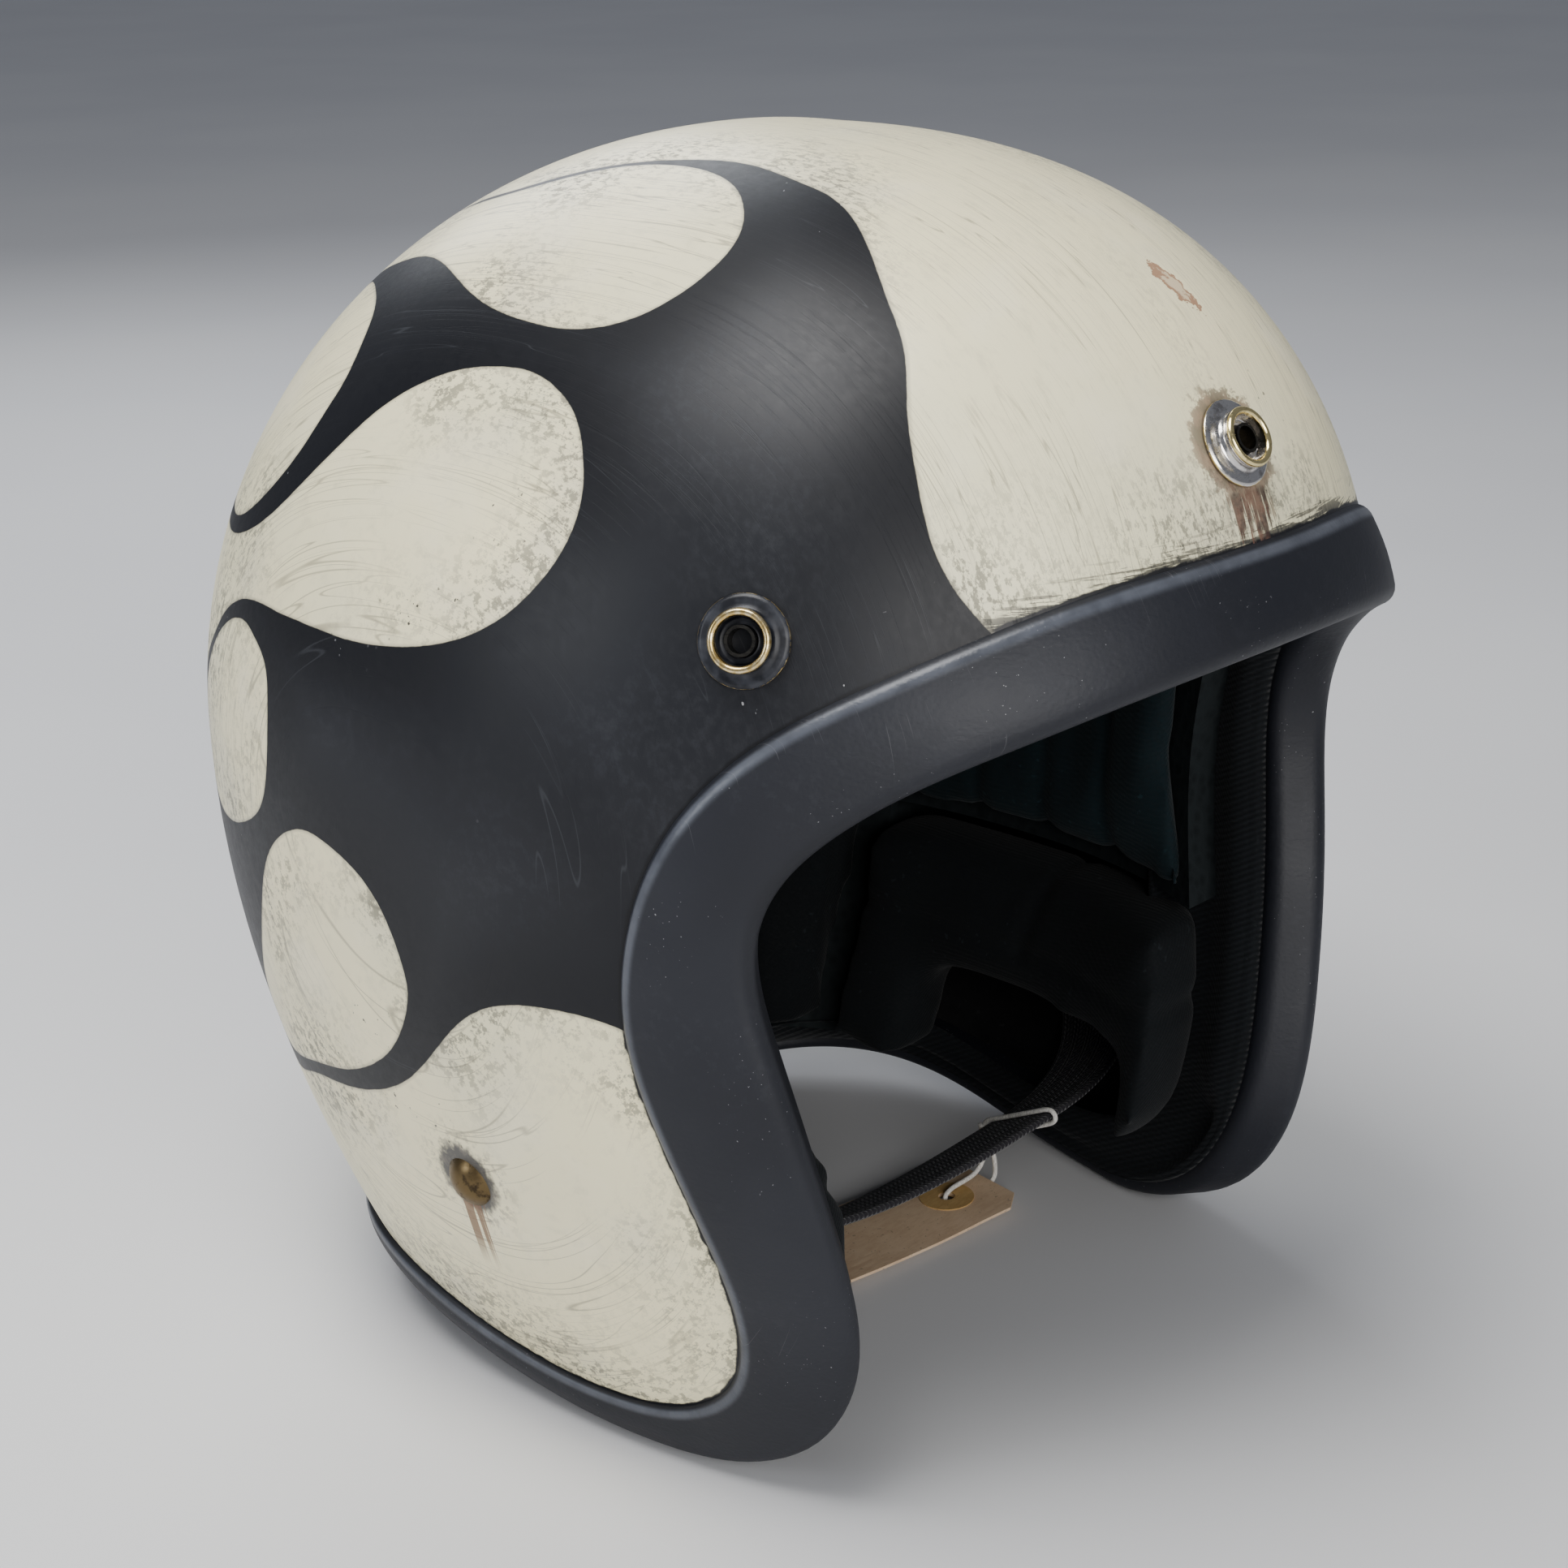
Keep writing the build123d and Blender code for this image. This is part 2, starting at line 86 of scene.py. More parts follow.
def spline(points, m=1200, closed=False):
    """cubic spline through the points, parametrised by chord length"""
    p = np.asarray(points, float)
    if closed:
        p = np.vstack([p, p[:1]])
    d = np.linalg.norm(np.diff(p, axis=0), axis=1)
    u = np.concatenate([[0], np.cumsum(np.sqrt(d) if closed else d)])
    n = len(p)
    h = np.diff(u)
    A = np.zeros((n, n))
    R = np.zeros_like(p)
    for i in range(1, n - 1):
        A[i, i - 1], A[i, i], A[i, i + 1] = h[i - 1], 2 * (h[i - 1] + h[i]), h[i]
        R[i] = 6 * ((p[i + 1] - p[i]) / h[i] - (p[i] - p[i - 1]) / h[i - 1])
    if closed:
        A[0, 0], A[0, 1], A[0, n - 2] = 2 * (h[-1] + h[0]), h[0], h[-1]
        R[0] = 6 * ((p[1] - p[0]) / h[0] - (p[0] - p[n - 2]) / h[-1])
        A[n - 1, 0], A[n - 1, n - 1] = 1, -1
    else:
        A[0, 0] = A[n - 1, n - 1] = 1
    M = np.linalg.solve(A, R)
    t = np.linspace(0, u[-1], m)
    i = np.clip(np.searchsorted(u, t, side="right") - 1, 0, n - 2)
    a = ((u[i + 1] - t) / h[i])[:, None]
    b = ((t - u[i]) / h[i])[:, None]
    hh = (h[i] ** 2 / 6)[:, None]
    return a * p[i] + b * p[i + 1] + ((a ** 3 - a) * M[i] + (b ** 3 - b) * M[i + 1]) * hh


def resample(p, n):
    d = np.concatenate([[0], np.cumsum(np.linalg.norm(np.diff(p, axis=0), axis=1))])
    t = np.linspace(0, d[-1], n)
    return np.stack([np.interp(t, d, p[:, k]) for k in range(p.shape[1])], -1)


def smoothstep(x, a, b):
    t = np.clip((x - a) / (b - a), 0, 1)
    return t * t * (3 - 2 * t)


def line_on_surface(side, n, t=0.0):
    """half of a side-view line laid on the surface, from the brow's middle to the nape's, x <= 0"""
    q = spline(side, 9000)
    y, z = q[:, 0], q[:, 1]
    lo, hi = np.zeros(len(q)), np.full(len(q), math.pi)
    yf, yr = surf(0.0, z, t)[:, 1], surf(math.pi, z, t)[:, 1]
    ok = (y > yf) & (y < yr)
    for _ in range(44):
        mid = (lo + hi) / 2
        below = surf(mid, z, t)[:, 1] < y
        lo, hi = np.where(below, mid, lo), np.where(below, hi, mid)
    pts = surf((lo + hi) / 2, z, t)[ok]
    i0, i1 = np.argmax(ok), len(ok) - 1 - np.argmax(ok[::-1])
    first = surf(0.0, z[i0 - 1:i0], t)
    last = surf(math.pi, z[i1 + 1:i1 + 2], t)
    pts = np.vstack([first, pts, last])
    pts = resample(pts, n)
    pts[0, 0] = pts[-1, 0] = 0.0
    return pts


def side_distance(y, z, line):
    """signed distance in the side view to a line, positive above and behind it"""
    q = spline(line, 700)
    out = np.empty(len(y))
    sgn = np.empty(len(y))
    poly = np.vstack([q, [[150, 260], [-150, 260]]])
    for s in range(0, len(y), 4000):
        P = np.stack([y[s:s + 4000], z[s:s + 4000]], -1)
        out[s:s + 4000] = seg_distance(P, q)
        sgn[s:s + 4000] = inside(P, poly)
    return out * np.where(sgn > 0, 1, -1)


def seg_distance(P, q):
    a, b = q[:-1], q[1:]
    d = b - a
    L = np.maximum((d ** 2).sum(1), 1e-12)
    w = P[:, None, :] - a[None]
    t = np.clip((w * d[None]).sum(-1) / L, 0, 1)
    return np.sqrt(((w - t[..., None] * d[None]) ** 2).sum(-1)).min(1)


def inside(P, poly):
    a, b = poly, np.roll(poly, -1, axis=0)
    x, y = P[:, 0][:, None], P[:, 1][:, None]
    cond = (a[:, 1][None] > y) != (b[:, 1][None] > y)
    xi = a[:, 0][None] + (y - a[:, 1][None]) * (b[:, 0] - a[:, 0])[None] / np.where(b[:, 1] == a[:, 1], 1e-9, b[:, 1] - a[:, 1])[None]
    return ((cond & (x < xi)).sum(1) % 2).astype(float)


def chart(p):
    """flat map of one side, seen from its widest point, in millimetres along the surface"""
    r = np.linalg.norm(p, axis=-1)
    th = np.arccos(np.clip(np.abs(p[..., 0]) / r, 0, 1))
    ps = np.arctan2(p[..., 2], p[..., 1])
    return np.stack([th * np.cos(ps), th * np.sin(ps)], -1) * 116.0


def on_chart(pairs):
    a = np.asarray(pairs, float)
    return chart(surf(np.radians(a[:, 0]), a[:, 1]))


# ------------------------------------------------------------------
# camera
# ------------------------------------------------------------------
scene = bpy.context.scene
cam_data = bpy.data.cameras.new("camera")
cam = bpy.data.objects.new("camera", cam_data)
scene.collection.objects.link(cam)
right, up, fwd = Vector((0.6885, -0.7251, -0.0155)), Vector((0.2598, 0.2267, 0.9387)), Vector((0.6771, 0.6503, -0.3445))
right = right.normalized()
fwd = fwd.normalized()
up = right.cross(fwd).normalized()
rot = Matrix((right, up, -fwd)).transposed()
cam.matrix_world = Matrix.Translation((-0.4142, -0.397558, 0.3245)) @ rot.to_4x4()
cam_data.sensor_width = 36.0
cam_data.lens = 63.36
cam_data.clip_start, cam_data.clip_end = 0.01, 20
scene.camera = cam


# ------------------------------------------------------------------
# node helpers
# ------------------------------------------------------------------
class Mat:
    def __init__(self, name):
        self.m = bpy.data.materials.new(name)
        self.m.use_nodes = True
        self.t = self.m.node_tree
        self.t.nodes.clear()
        self.out = self.t.nodes.new("ShaderNodeOutputMaterial")
        self.b = self.t.nodes.new("ShaderNodeBsdfPrincipled")
        self.t.links.new(self.b.outputs[0], self.out.inputs[0])
        self.co = self.node("ShaderNodeTexCoord").outputs["Object"]

    def node(self, kind, **k):
        n = self.t.nodes.new(kind)
        for a, v in k.items():
            setattr(n, a, v)
        return n

    def put(self, sock, v):
        if isinstance(v, bpy.types.NodeSocket):
            self.t.links.new(v, sock)
        elif v is not None:
            if hasattr(sock.default_value, "__len__") and not hasattr(v, "__len__"):
                sock.default_value = [v] * len(sock.default_value)
            elif hasattr(v, "__len__") and len(v) == 3 and len(sock.default_value) == 4:
                sock.default_value = (*v, 1)
            else:
                sock.default_value = v

    def math(self, op, a, b=None, c=None, clamp=False):
        n = self.node("ShaderNodeMath", operation=op, use_clamp=clamp)
        self.put(n.inputs[0], a)
        if b is not None:
            self.put(n.inputs[1], b)
        if c is not None:
            self.put(n.inputs[2], c)
        return n.outputs[0]

    def mul(self, *v):
        r = v[0]
        for x in v[1:]:
            r = self.math("MULTIPLY", r, x)
        return r

    def add(self, a, b):
        return self.math("ADD", a, b)

    def top(self, a, b):
        return self.math("MAXIMUM", a, b)

    def vec(self, op, a, b=None):
        n = self.node("ShaderNodeVectorMath", operation=op)
        self.put(n.inputs[0], a)
        if b is not None:
            self.put(n.inputs[1], b)
        return n.outputs["Value"] if op in ("DOT_PRODUCT", "LENGTH", "DISTANCE") else n.outputs["Vector"]

    def xyz(self, v):
        n = self.node("ShaderNodeSeparateXYZ")
        self.put(n.inputs[0], v)
        return n.outputs

    def join(self, x, y, z):
        n = self.node("ShaderNodeCombineXYZ")
        for s, v in zip(n.inputs, (x, y, z)):
            self.put(s, v)
        return n.outputs[0]

    def attr(self, name):
        return self.node("ShaderNodeAttribute", attribute_name=name).outputs["Fac"]

    def map(self, co=None, scale=(1, 1, 1), rot=(0, 0, 0), loc=(0, 0, 0)):
        n = self.node("ShaderNodeMapping")
        self.put(n.inputs["Vector"], co or self.co)
        n.inputs["Scale"].default_value = scale
        n.inputs["Rotation"].default_value = rot
        n.inputs["Location"].default_value = loc
        return n.outputs[0]

    def noise(self, scale, detail=2.0, rough=0.5, co=None, warp=0.0):
        n = self.node("ShaderNodeTexNoise")
        self.put(n.inputs["Vector"], co or self.co)
        n.inputs["Scale"].default_value = scale
        n.inputs["Detail"].default_value = detail
        n.inputs["Roughness"].default_value = rough
        n.inputs["Distortion"].default_value = warp
        return n.outputs["Fac"]

    def voronoi(self, scale, co=None, feature="F1", out="Distance", rand=1.0):
        n = self.node("ShaderNodeTexVoronoi", feature=feature)
        self.put(n.inputs["Vector"], co or self.co)
        n.inputs["Scale"].default_value = scale
        n.inputs["Randomness"].default_value = rand
        return n.outputs[out]

    def ss(self, x, a, b, lo=0.0, hi=1.0):
        """smoothstep of x from a to b onto lo to hi"""
        n = self.node("ShaderNodeMapRange", interpolation_type="SMOOTHSTEP")
        self.put(n.inputs["Value"], x)
        n.inputs["From Min"].default_value, n.inputs["From Max"].default_value = a, b
        n.inputs["To Min"].default_value, n.inputs["To Max"].default_value = lo, hi
        return n.outputs["Result"]

    def lin(self, x, a, b, lo=0.0, hi=1.0):
        n = self.node("ShaderNodeMapRange")
        self.put(n.inputs["Value"], x)
        n.inputs["From Min"].default_value, n.inputs["From Max"].default_value = a, b
        n.inputs["To Min"].default_value, n.inputs["To Max"].default_value = lo, hi
        return n.outputs["Result"]

    def mix(self, f, a, b, kind="MIX"):
        n = self.node("ShaderNodeMix", data_type="RGBA", blend_type=kind)
        self.put(n.inputs["Factor"], f)
        ins = [s for s in n.inputs if s.type == "RGBA"]
        self.put(ins[0], a)
        self.put(ins[1], b)
        return [s for s in n.outputs if s.type == "RGBA"][0]

    def fmix(self, f, a, b):
        n = self.node("ShaderNodeMix", data_type="FLOAT")
        self.put(n.inputs["Factor"], f)
        self.put(n.inputs[2], a)
        self.put(n.inputs[3], b)
        return n.outputs[0]

    def bump(self, height, strength=0.3, distance=0.0005, normal=None):
        n = self.node("ShaderNodeBump")
        self.put(n.inputs["Height"], height)
        n.inputs["Strength"].default_value = strength
        n.inputs["Distance"].default_value = distance
        if normal is not None:
            self.put(n.inputs["Normal"], normal)
        self.t.links.new(n.outputs[0], self.b.inputs["Normal"])
        return n.outputs[0]

    def set(self, **k):
        for a, v in k.items():
            self.put(self.b.inputs[a.replace("_", " ")], v)
        return self

    def scratch(self, rot, across, along, width, co=None, seed=0.0):
        """thin long lines along one direction"""
        v = self.map(co, (across, along, along), rot, (seed, seed * 0.7, 0))
        n = self.noise(1.0, 1.0, 0.4, v, 0.15)
        d = self.math("ABSOLUTE", self.math("SUBTRACT", n, 0.5))
        return self.ss(d, width, 0.0)


def paint():
    m = Mat("shell_paint")
    c = m.top(m.top(m.attr("cream_a"), m.attr("cream_b")), m.attr("cream_c"))
    e = m.attr("edge")
    fine = m.noise(950, 3, 0.6)
    mid = m.noise(240, 4, 0.6)
    patch = m.noise(42, 3, 0.55)
    wide = m.noise(11, 3, 0.5)
    cc = m.add(c, m.lin(mid, 0.3, 0.7, -0.07, 0.07))
    mask = m.ss(cc, -0.14, 0.14)

    # cream: warm and cool patches, brushed mottling, worn grey by the edges
    cream = m.mix(m.ss(wide, 0.35, 0.65), (0.865, 0.800, 0.560), (0.790, 0.752, 0.545))
    brush = m.noise(1.0, 5, 0.65, m.map(None, (520, 170, 170), (0.4, 0.3, 0.6)))
    cream = m.mix(m.mul(m.ss(brush, 0.50, 0.72), 0.30), cream, (0.55, 0.52, 0.38))
    cream = m.mix(m.mul(m.ss(patch, 0.5, 0.7), 0.30), cream, (0.89, 0.84, 0.67))
    # long hair scratches in several directions
    s1 = m.scratch((0.2, 0.5, 0.7), 330, 5, 0.0050, seed=1.3)
    s2 = m.scratch((0.9, -0.3, -0.5), 390, 6, 0.0042, seed=4.1)
    s3 = m.scratch((-0.5, 0.2, 1.6), 300, 5, 0.0050, seed=7.7)
    s4 = m.scratch((1.3, 0.9, 0.2), 420, 7, 0.0042, seed=2.9)
    s5 = m.scratch((0.1, 1.2, 2.3), 350, 5, 0.0045, seed=6.2)
    sc = m.top(m.top(m.top(s1, s2), m.top(s3, s4)), s5)
    sc = m.mul(sc, m.ss(m.noise(26, 2), 0.36, 0.54))
    cream = m.mix(m.mul(sc, 0.62), cream, (0.30, 0.275, 0.20))
    # mottled grey wear: dense near the black edge and near the trim
    near = m.ss(c, 24.0, 0.5)
    near_t = m.ss(e, 32.0, 1.0)
    place = m.top(m.mul(near, m.ss(m.noise(20, 3), 0.40, 0.60)), m.mul(near_t, m.ss(m.noise(24, 3), 0.36, 0.58)))
    grain = m.noise(1.0, 4, 0.75, m.map(None, (900, 420, 420), (0.5, 0.2, 0.9)))
    fleck = m.mul(place, m.ss(grain, 0.485, 0.585))
    cream = m.mix(m.mul(fleck, 0.72), cream, (0.15, 0.145, 0.12))
    haze = m.mul(place, m.ss(patch, 0.4, 0.7))
    cream = m.mix(m.mul(haze, 0.22), cream, (0.34, 0.32, 0.26))
    # sparse black specks in clusters
    sp = m.mul(m.ss(m.noise(640, 2, 0.6), 0.685, 0.72), m.ss(m.noise(34, 2), 0.56, 0.66))
    cream = m.mix(m.mul(sp, 0.9), cream, (0.035, 0.035, 0.035))
    # dark drags along the trim
    xy = m.xyz(m.co)
    drag = m.noise(1.0, 4, 0.7, m.map(None, (60, 60, 1000), (0, 0, 0)))
    brow = m.mul(m.ss(xy["Z"], 0.168, 0.178), m.ss(xy["Y"], -0.080, -0.092))
    dragged = m.mul(brow, m.ss(e, 7.0, 0.2), m.ss(m.add(drag, m.ss(e, 4.0, 0.0, 0.0, 0.13)), 0.57, 0.62))
    cream = m.mix(m.mul(dragged, 0.85), cream, (0.03, 0.03, 0.033))
    cream = m.mix(m.ss(m.add(e, m.lin(mid, 0.3, 0.7, -0.25, 0.25)), 0.75, 0.25), cream, (0.02, 0.02, 0.022))
    # rim of every painted area, faintly darker
    cream = m.mix(m.mul(m.ss(c, 0.9, 0.1), 0.45), cream, (0.30, 0.28, 0.22))

    # front snap: rust round the flange and down to the trim
    snap = Vector((0.0, -0.11526, 0.2079))
    rel = m.vec("SUBTRACT", m.co, tuple(snap))
    r = m.vec("LENGTH", rel)
    rx = m.xyz(rel)
    side = m.math("ABSOLUTE", m.add(rx["X"], 0.001))
    halo = m.mul(m.ss(r, 0.0165, 0.0088), m.ss(m.add(m.noise(520, 4, 0.7), m.ss(r, 0.0125, 0.0085, 0, 0.35)), 0.55, 0.68))
    ahead = m.ss(xy["Y"], -0.030, -0.050)
    below = m.mul(ahead, m.ss(rx["Z"], -0.004, -0.009), m.ss(side, 0.0085, 0.0050))
    runs = m.noise(1.0, 3, 0.6, m.map(None, (640, 20, 46), (0, 0, 0)))
    run = m.mul(below, m.ss(m.add(runs, m.ss(rx["Z"], -0.020, -0.008, 0.0, 0.17)), 0.53, 0.60))
    rust = m.top(m.mul(halo, 0.75), m.mul(run, 0.9))
    cream = m.mix(rust, cream, m.mix(m.ss(mid, 0.4, 0.6), (0.075, 0.045, 0.038), (0.20, 0.115, 0.085)))
    # chip through to the brown primer
    rel2 = m.vec("SUBTRACT", m.co, (0.0096, -0.0938, 0.2332))
    u = m.vec("DOT_PRODUCT", rel2, (0.33, -0.55, -0.76))
    v = m.vec("DOT_PRODUCT", rel2, (0.94, 0.20, 0.27))
    w = m.vec("LENGTH", m.join(m.mul(u, 0.62), m.mul(v, 1.7), 0.0))
    w = m.add(w, m.lin(m.noise(330, 3, 0.7), 0.3, 0.7, -0.0017, 0.0017))
    chip = m.mul(ahead, m.ss(w, 0.0042, 0.0038))
    core = m.mul(ahead, m.ss(w, 0.0031, 0.0024), m.ss(m.noise(420, 3), 0.42, 0.5))
    cream = m.mix(m.mul(chip, 0.85), cream, (0.33, 0.17, 0.105))
    cream = m.mix(m.mul(core, 0.95), cream, (0.66, 0.56, 0.40))

    # rivet: dark ring and thin runs, both sides
    ax = m.math("ABSOLUTE", xy["X"])
    rr = m.vec("LENGTH", m.join(0.0, m.add(xy["Y"], 0.009558), m.add(xy["Z"], -0.0606)))
    onside = m.ss(ax, 0.07, 0.08)
    ring = m.mul(onside, m.ss(m.add(rr, m.lin(m.noise(700, 3), 0.3, 0.7, -0.0008, 0.0008)), 0.0094, 0.0066))
    ringc = m.mul(ring, 0.92)
    cream = m.mix(ringc, cream, (0.035, 0.035, 0.045))
    smudge = m.mul(onside, m.ss(rr, 0.017, 0.008), m.ss(m.noise(420, 4, 0.7), 0.50, 0.62))
    cream = m.mix(m.mul(smudge, 0.5), cream, (0.20, 0.18, 0.15))
    ry, rz = m.add(xy["Y"], 0.0090), m.add(xy["Z"], -0.0606)
    tears = m.noise(1.0, 2, 0.5, m.map(None, (12, 900, 14), (0, 0, 0)))
    band = m.mul(onside, m.ss(m.math("ABSOLUTE", m.add(ry, -0.0003)), 0.0042, 0.0030), m.ss(rz, -0.0045, -0.0062))
    tear = m.mul(band, m.ss(rz, -0.0250, -0.0140), m.ss(m.add(tears, m.ss(rz, -0.021, -0.007, 0, 0.06)), 0.520, 0.550))
    cream = m.mix(m.mul(tear, 0.85), cream, (0.21, 0.105, 0.045))

    # black panel: nearly black by its edges, lighter grey-blue in the open areas, partly real scuffing and partly a
    # painted sheen
    open_ = m.ss(c, -1.5, -26.0)
    swirl = m.noise(1.0, 5, 0.72, m.map(None, (760, 420, 420), (0.3, 0.8, 0.2)))
    cloud = m.ss(m.noise(12, 3, 0.5), 0.30, 0.72)
    scuff_and_sheen = m.mul(open_, m.add(m.mul(cloud, 0.45), m.add(m.mul(m.ss(swirl, 0.44, 0.68), cloud, 0.50), 0.10)))
    black = m.mix(scuff_and_sheen, (0.0062, 0.0068, 0.0098), (0.040, 0.0425, 0.0505))
    b1 = m.scratch((0.4, 0.3, 1.1), 330, 6, 0.0038, seed=9.2)
    b2 = m.scratch((1.0, -0.6, 0.2), 380, 6, 0.0034, seed=3.3)
    bs = m.mul(m.top(b1, b2), m.ss(m.noise(30, 2), 0.50, 0.62))
    black = m.mix(m.mul(bs, 0.30), black, (0.085, 0.09, 0.10))
    nick = m.mul(m.ss(m.noise(620, 1, 0.5), 0.765, 0.78), m.ss(m.noise(22, 1), 0.56, 0.62))
    black = m.mix(nick, black, (0.34, 0.34, 0.35))
    black = m.mix(m.mul(m.ss(e, 0.9, 0.2), 0.8), black, (0.004, 0.004, 0.006))

    colour = m.mix(mask, black, cream)
    rough_c = m.add(m.lin(wide, 0.3, 0.7, 0.34, 0.44), m.mul(fleck, 0.22))
    rough_b = m.add(m.lin(swirl, 0.3, 0.7, 0.40, 0.50), m.mul(cloud, 0.05))
    rough = m.math("ADD", m.fmix(mask, rough_b, rough_c), m.mul(m.top(rust, chip), 0.3), clamp=True)
    m.set(Base_Color=colour, Roughness=rough)
    m.b.inputs["Coat Weight"].default_value = 0.12
    m.b.inputs["Coat Roughness"].default_value = 0.30
    m.b.inputs["Specular IOR Level"].default_value = 0.45
    h = m.add(m.mul(mask, 0.5), m.mul(sc, -0.12))
    h = m.add(h, m.mul(m.top(m.mul(chip, mask), m.mul(sp, mask)), -1.0))
    h = m.add(h, m.mul(m.add(fine, mid), 0.05))
    h = m.add(h, m.mul(m.top(run, tear), 0.25))
    m.bump(h, 0.55, 0.00012)
    return m.m


def rubber():
    m = Mat("trim_rubber")
    q = m.attr("across")
    wide = m.noise(14, 3)
    grain = m.voronoi(1150, feature="SMOOTH_F1")
    crease = m.noise(1.0, 4, 0.6, m.map(None, (90, 90, 260), (0.2, 0.4, 0.0)))
    col = m.mix(m.ss(wide, 0.35, 0.7), (0.0185, 0.0200, 0.0262), (0.0285, 0.0305, 0.0390))
    dust = m.mul(m.ss(m.noise(430, 3, 0.65), 0.50, 0.70), m.ss(m.noise(30, 3), 0.42, 0.62))
    col = m.mix(m.mul(dust, 0.12), col, (0.062, 0.065, 0.078))
    sp = m.mul(m.ss(m.noise(1900, 1), 0.765, 0.78), m.ss(m.noise(40, 1), 0.50, 0.56))
    col = m.mix(sp, col, (0.26, 0.26, 0.27))
    s = m.mul(m.scratch((0.5, 0.2, 0.8), 330, 10, 0.0035, seed=5.0), m.ss(m.noise(34, 1), 0.60, 0.64))
    col = m.mix(m.mul(s, 0.4), col, (0.20, 0.20, 0.21))
    # painted highlight along the shoulder beside the shell: the colour is made paler there, and the line is smoother
    # (lower roughness)
    shoulder = m.mul(m.ss(q, 0.3, 0.9), m.ss(q, 2.9, 1.5))
    wear_and_highlight = m.mul(shoulder, m.lin(m.noise(120, 3, 0.6), 0.3, 0.6, 0.55, 1.0))
    col = m.mix(m.mul(wear_and_highlight, 0.62), col, (0.150, 0.162, 0.190))
    rough = m.math("SUBTRACT", m.lin(m.noise(60, 3), 0.3, 0.7, 0.47, 0.53), m.mul(shoulder, 0.20))
    m.set(Base_Color=col, Roughness=rough)
    m.b.inputs["Specular IOR Level"].default_value = 0.5
    h = m.add(m.mul(grain, 0.5), m.mul(m.ss(crease, 0.52, 0.60), 0.22))
    h = m.add(h, m.mul(m.noise(2300, 2), 0.18))
    m.bump(h, 0.30, 0.00022)
    return m.m


def metal(name, base, wear_and_highlight, rough=0.28, dark=(0.03, 0.03, 0.032), grime=0.4, metallic=1.0, scale=420):
    m = Mat(name)
    w = m.attr("wear")
    n = m.noise(scale, 4, 0.6)
    col = m.mix(m.ss(m.add(w, m.lin(n, 0.3, 0.7, -0.45, 0.45)), 0.35, 0.65), base, wear_and_highlight)
    g = m.mul(m.ss(m.noise(scale * 0.7, 4, 0.7), 0.50, 0.64), grime)
    col = m.mix(g, col, dark)
    turn = m.noise(1.0, 3, 0.6, m.map(None, (900, 900, 2600)))
    m.set(Base_Color=col, Roughness=m.add(m.lin(turn, 0.3, 0.7, rough - 0.07, rough + 0.09), m.mul(g, 0.3)))
    m.b.inputs["Metallic"].default_value = metallic
    m.bump(m.add(m.mul(n, 0.4), m.mul(turn, 0.25)), 0.35, 0.00008)
    return m.m


def black_snap():
    m = Mat("snap_black")
    w = m.attr("wear")
    n = m.noise(620, 4, 0.65)
    bare = m.ss(m.add(w, m.lin(n, 0.3, 0.7, -0.34, 0.34)), 0.46, 0.56)
    paint_ = m.mix(m.ss(m.noise(260, 3), 0.4, 0.65), (0.012, 0.013, 0.018), (0.045, 0.048, 0.058))
    brass = m.mix(m.ss(m.noise(900, 3), 0.4, 0.65), (0.62, 0.47, 0.22), (0.83, 0.72, 0.48))
    col = m.mix(bare, paint_, brass)
    m.set(Base_Color=col, Roughness=m.fmix(bare, 0.36, 0.27), Metallic=m.mul(bare, 0.95))
    m.bump(m.add(m.mul(bare, -0.5), m.mul(n, 0.3)), 0.4, 0.00008)
    return m.m


def cloth(name, a, b, scale=900, rough=0.92, sheen=0.4, seam=None, ribs=None):
    m = Mat(name)
    weave = m.math("MULTIPLY", m.math("SINE", m.mul(m.xyz(m.co)["X"], scale * 6.28)), m.math("SINE", m.mul(m.xyz(m.co)["Z"], scale * 6.28)))
    fuzz = m.noise(scale * 1.2, 4, 0.7)
    big = m.noise(35, 3)
    col = m.mix(m.ss(m.add(m.mul(fuzz, 0.6), m.mul(big, 0.5)), 0.40, 0.70), a, b)
    pill = m.mul(m.ss(m.noise(520, 2), 0.66, 0.72), m.ss(m.noise(60, 1), 0.5, 0.6))
    col = m.mix(m.mul(pill, 0.5), col, tuple(min(1, x * 2.6 + 0.01) for x in b))
    m.set(Base_Color=col, Roughness=m.lin(fuzz, 0.3, 0.7, rough - 0.08, rough + 0.04))
    m.b.inputs["Sheen Weight"].default_value = sheen
    m.b.inputs["Sheen Roughness"].default_value = 0.5
    h = m.add(m.mul(weave, 0.25), m.mul(fuzz, 0.6))
    if ribs:
        d = m.vec("DOT_PRODUCT", m.co, ribs)
        h = m.add(h, m.mul(m.math("SINE", d), 0.45))
        rib = m.ss(m.math("SINE", d), -0.6, 0.9)
        m.set(Base_Color=m.mix(m.mul(rib, 0.35), col, tuple(min(1, x * 1.9 + 0.004) for x in b)))
    m.bump(h, 0.6, 0.0003)
    return m.m


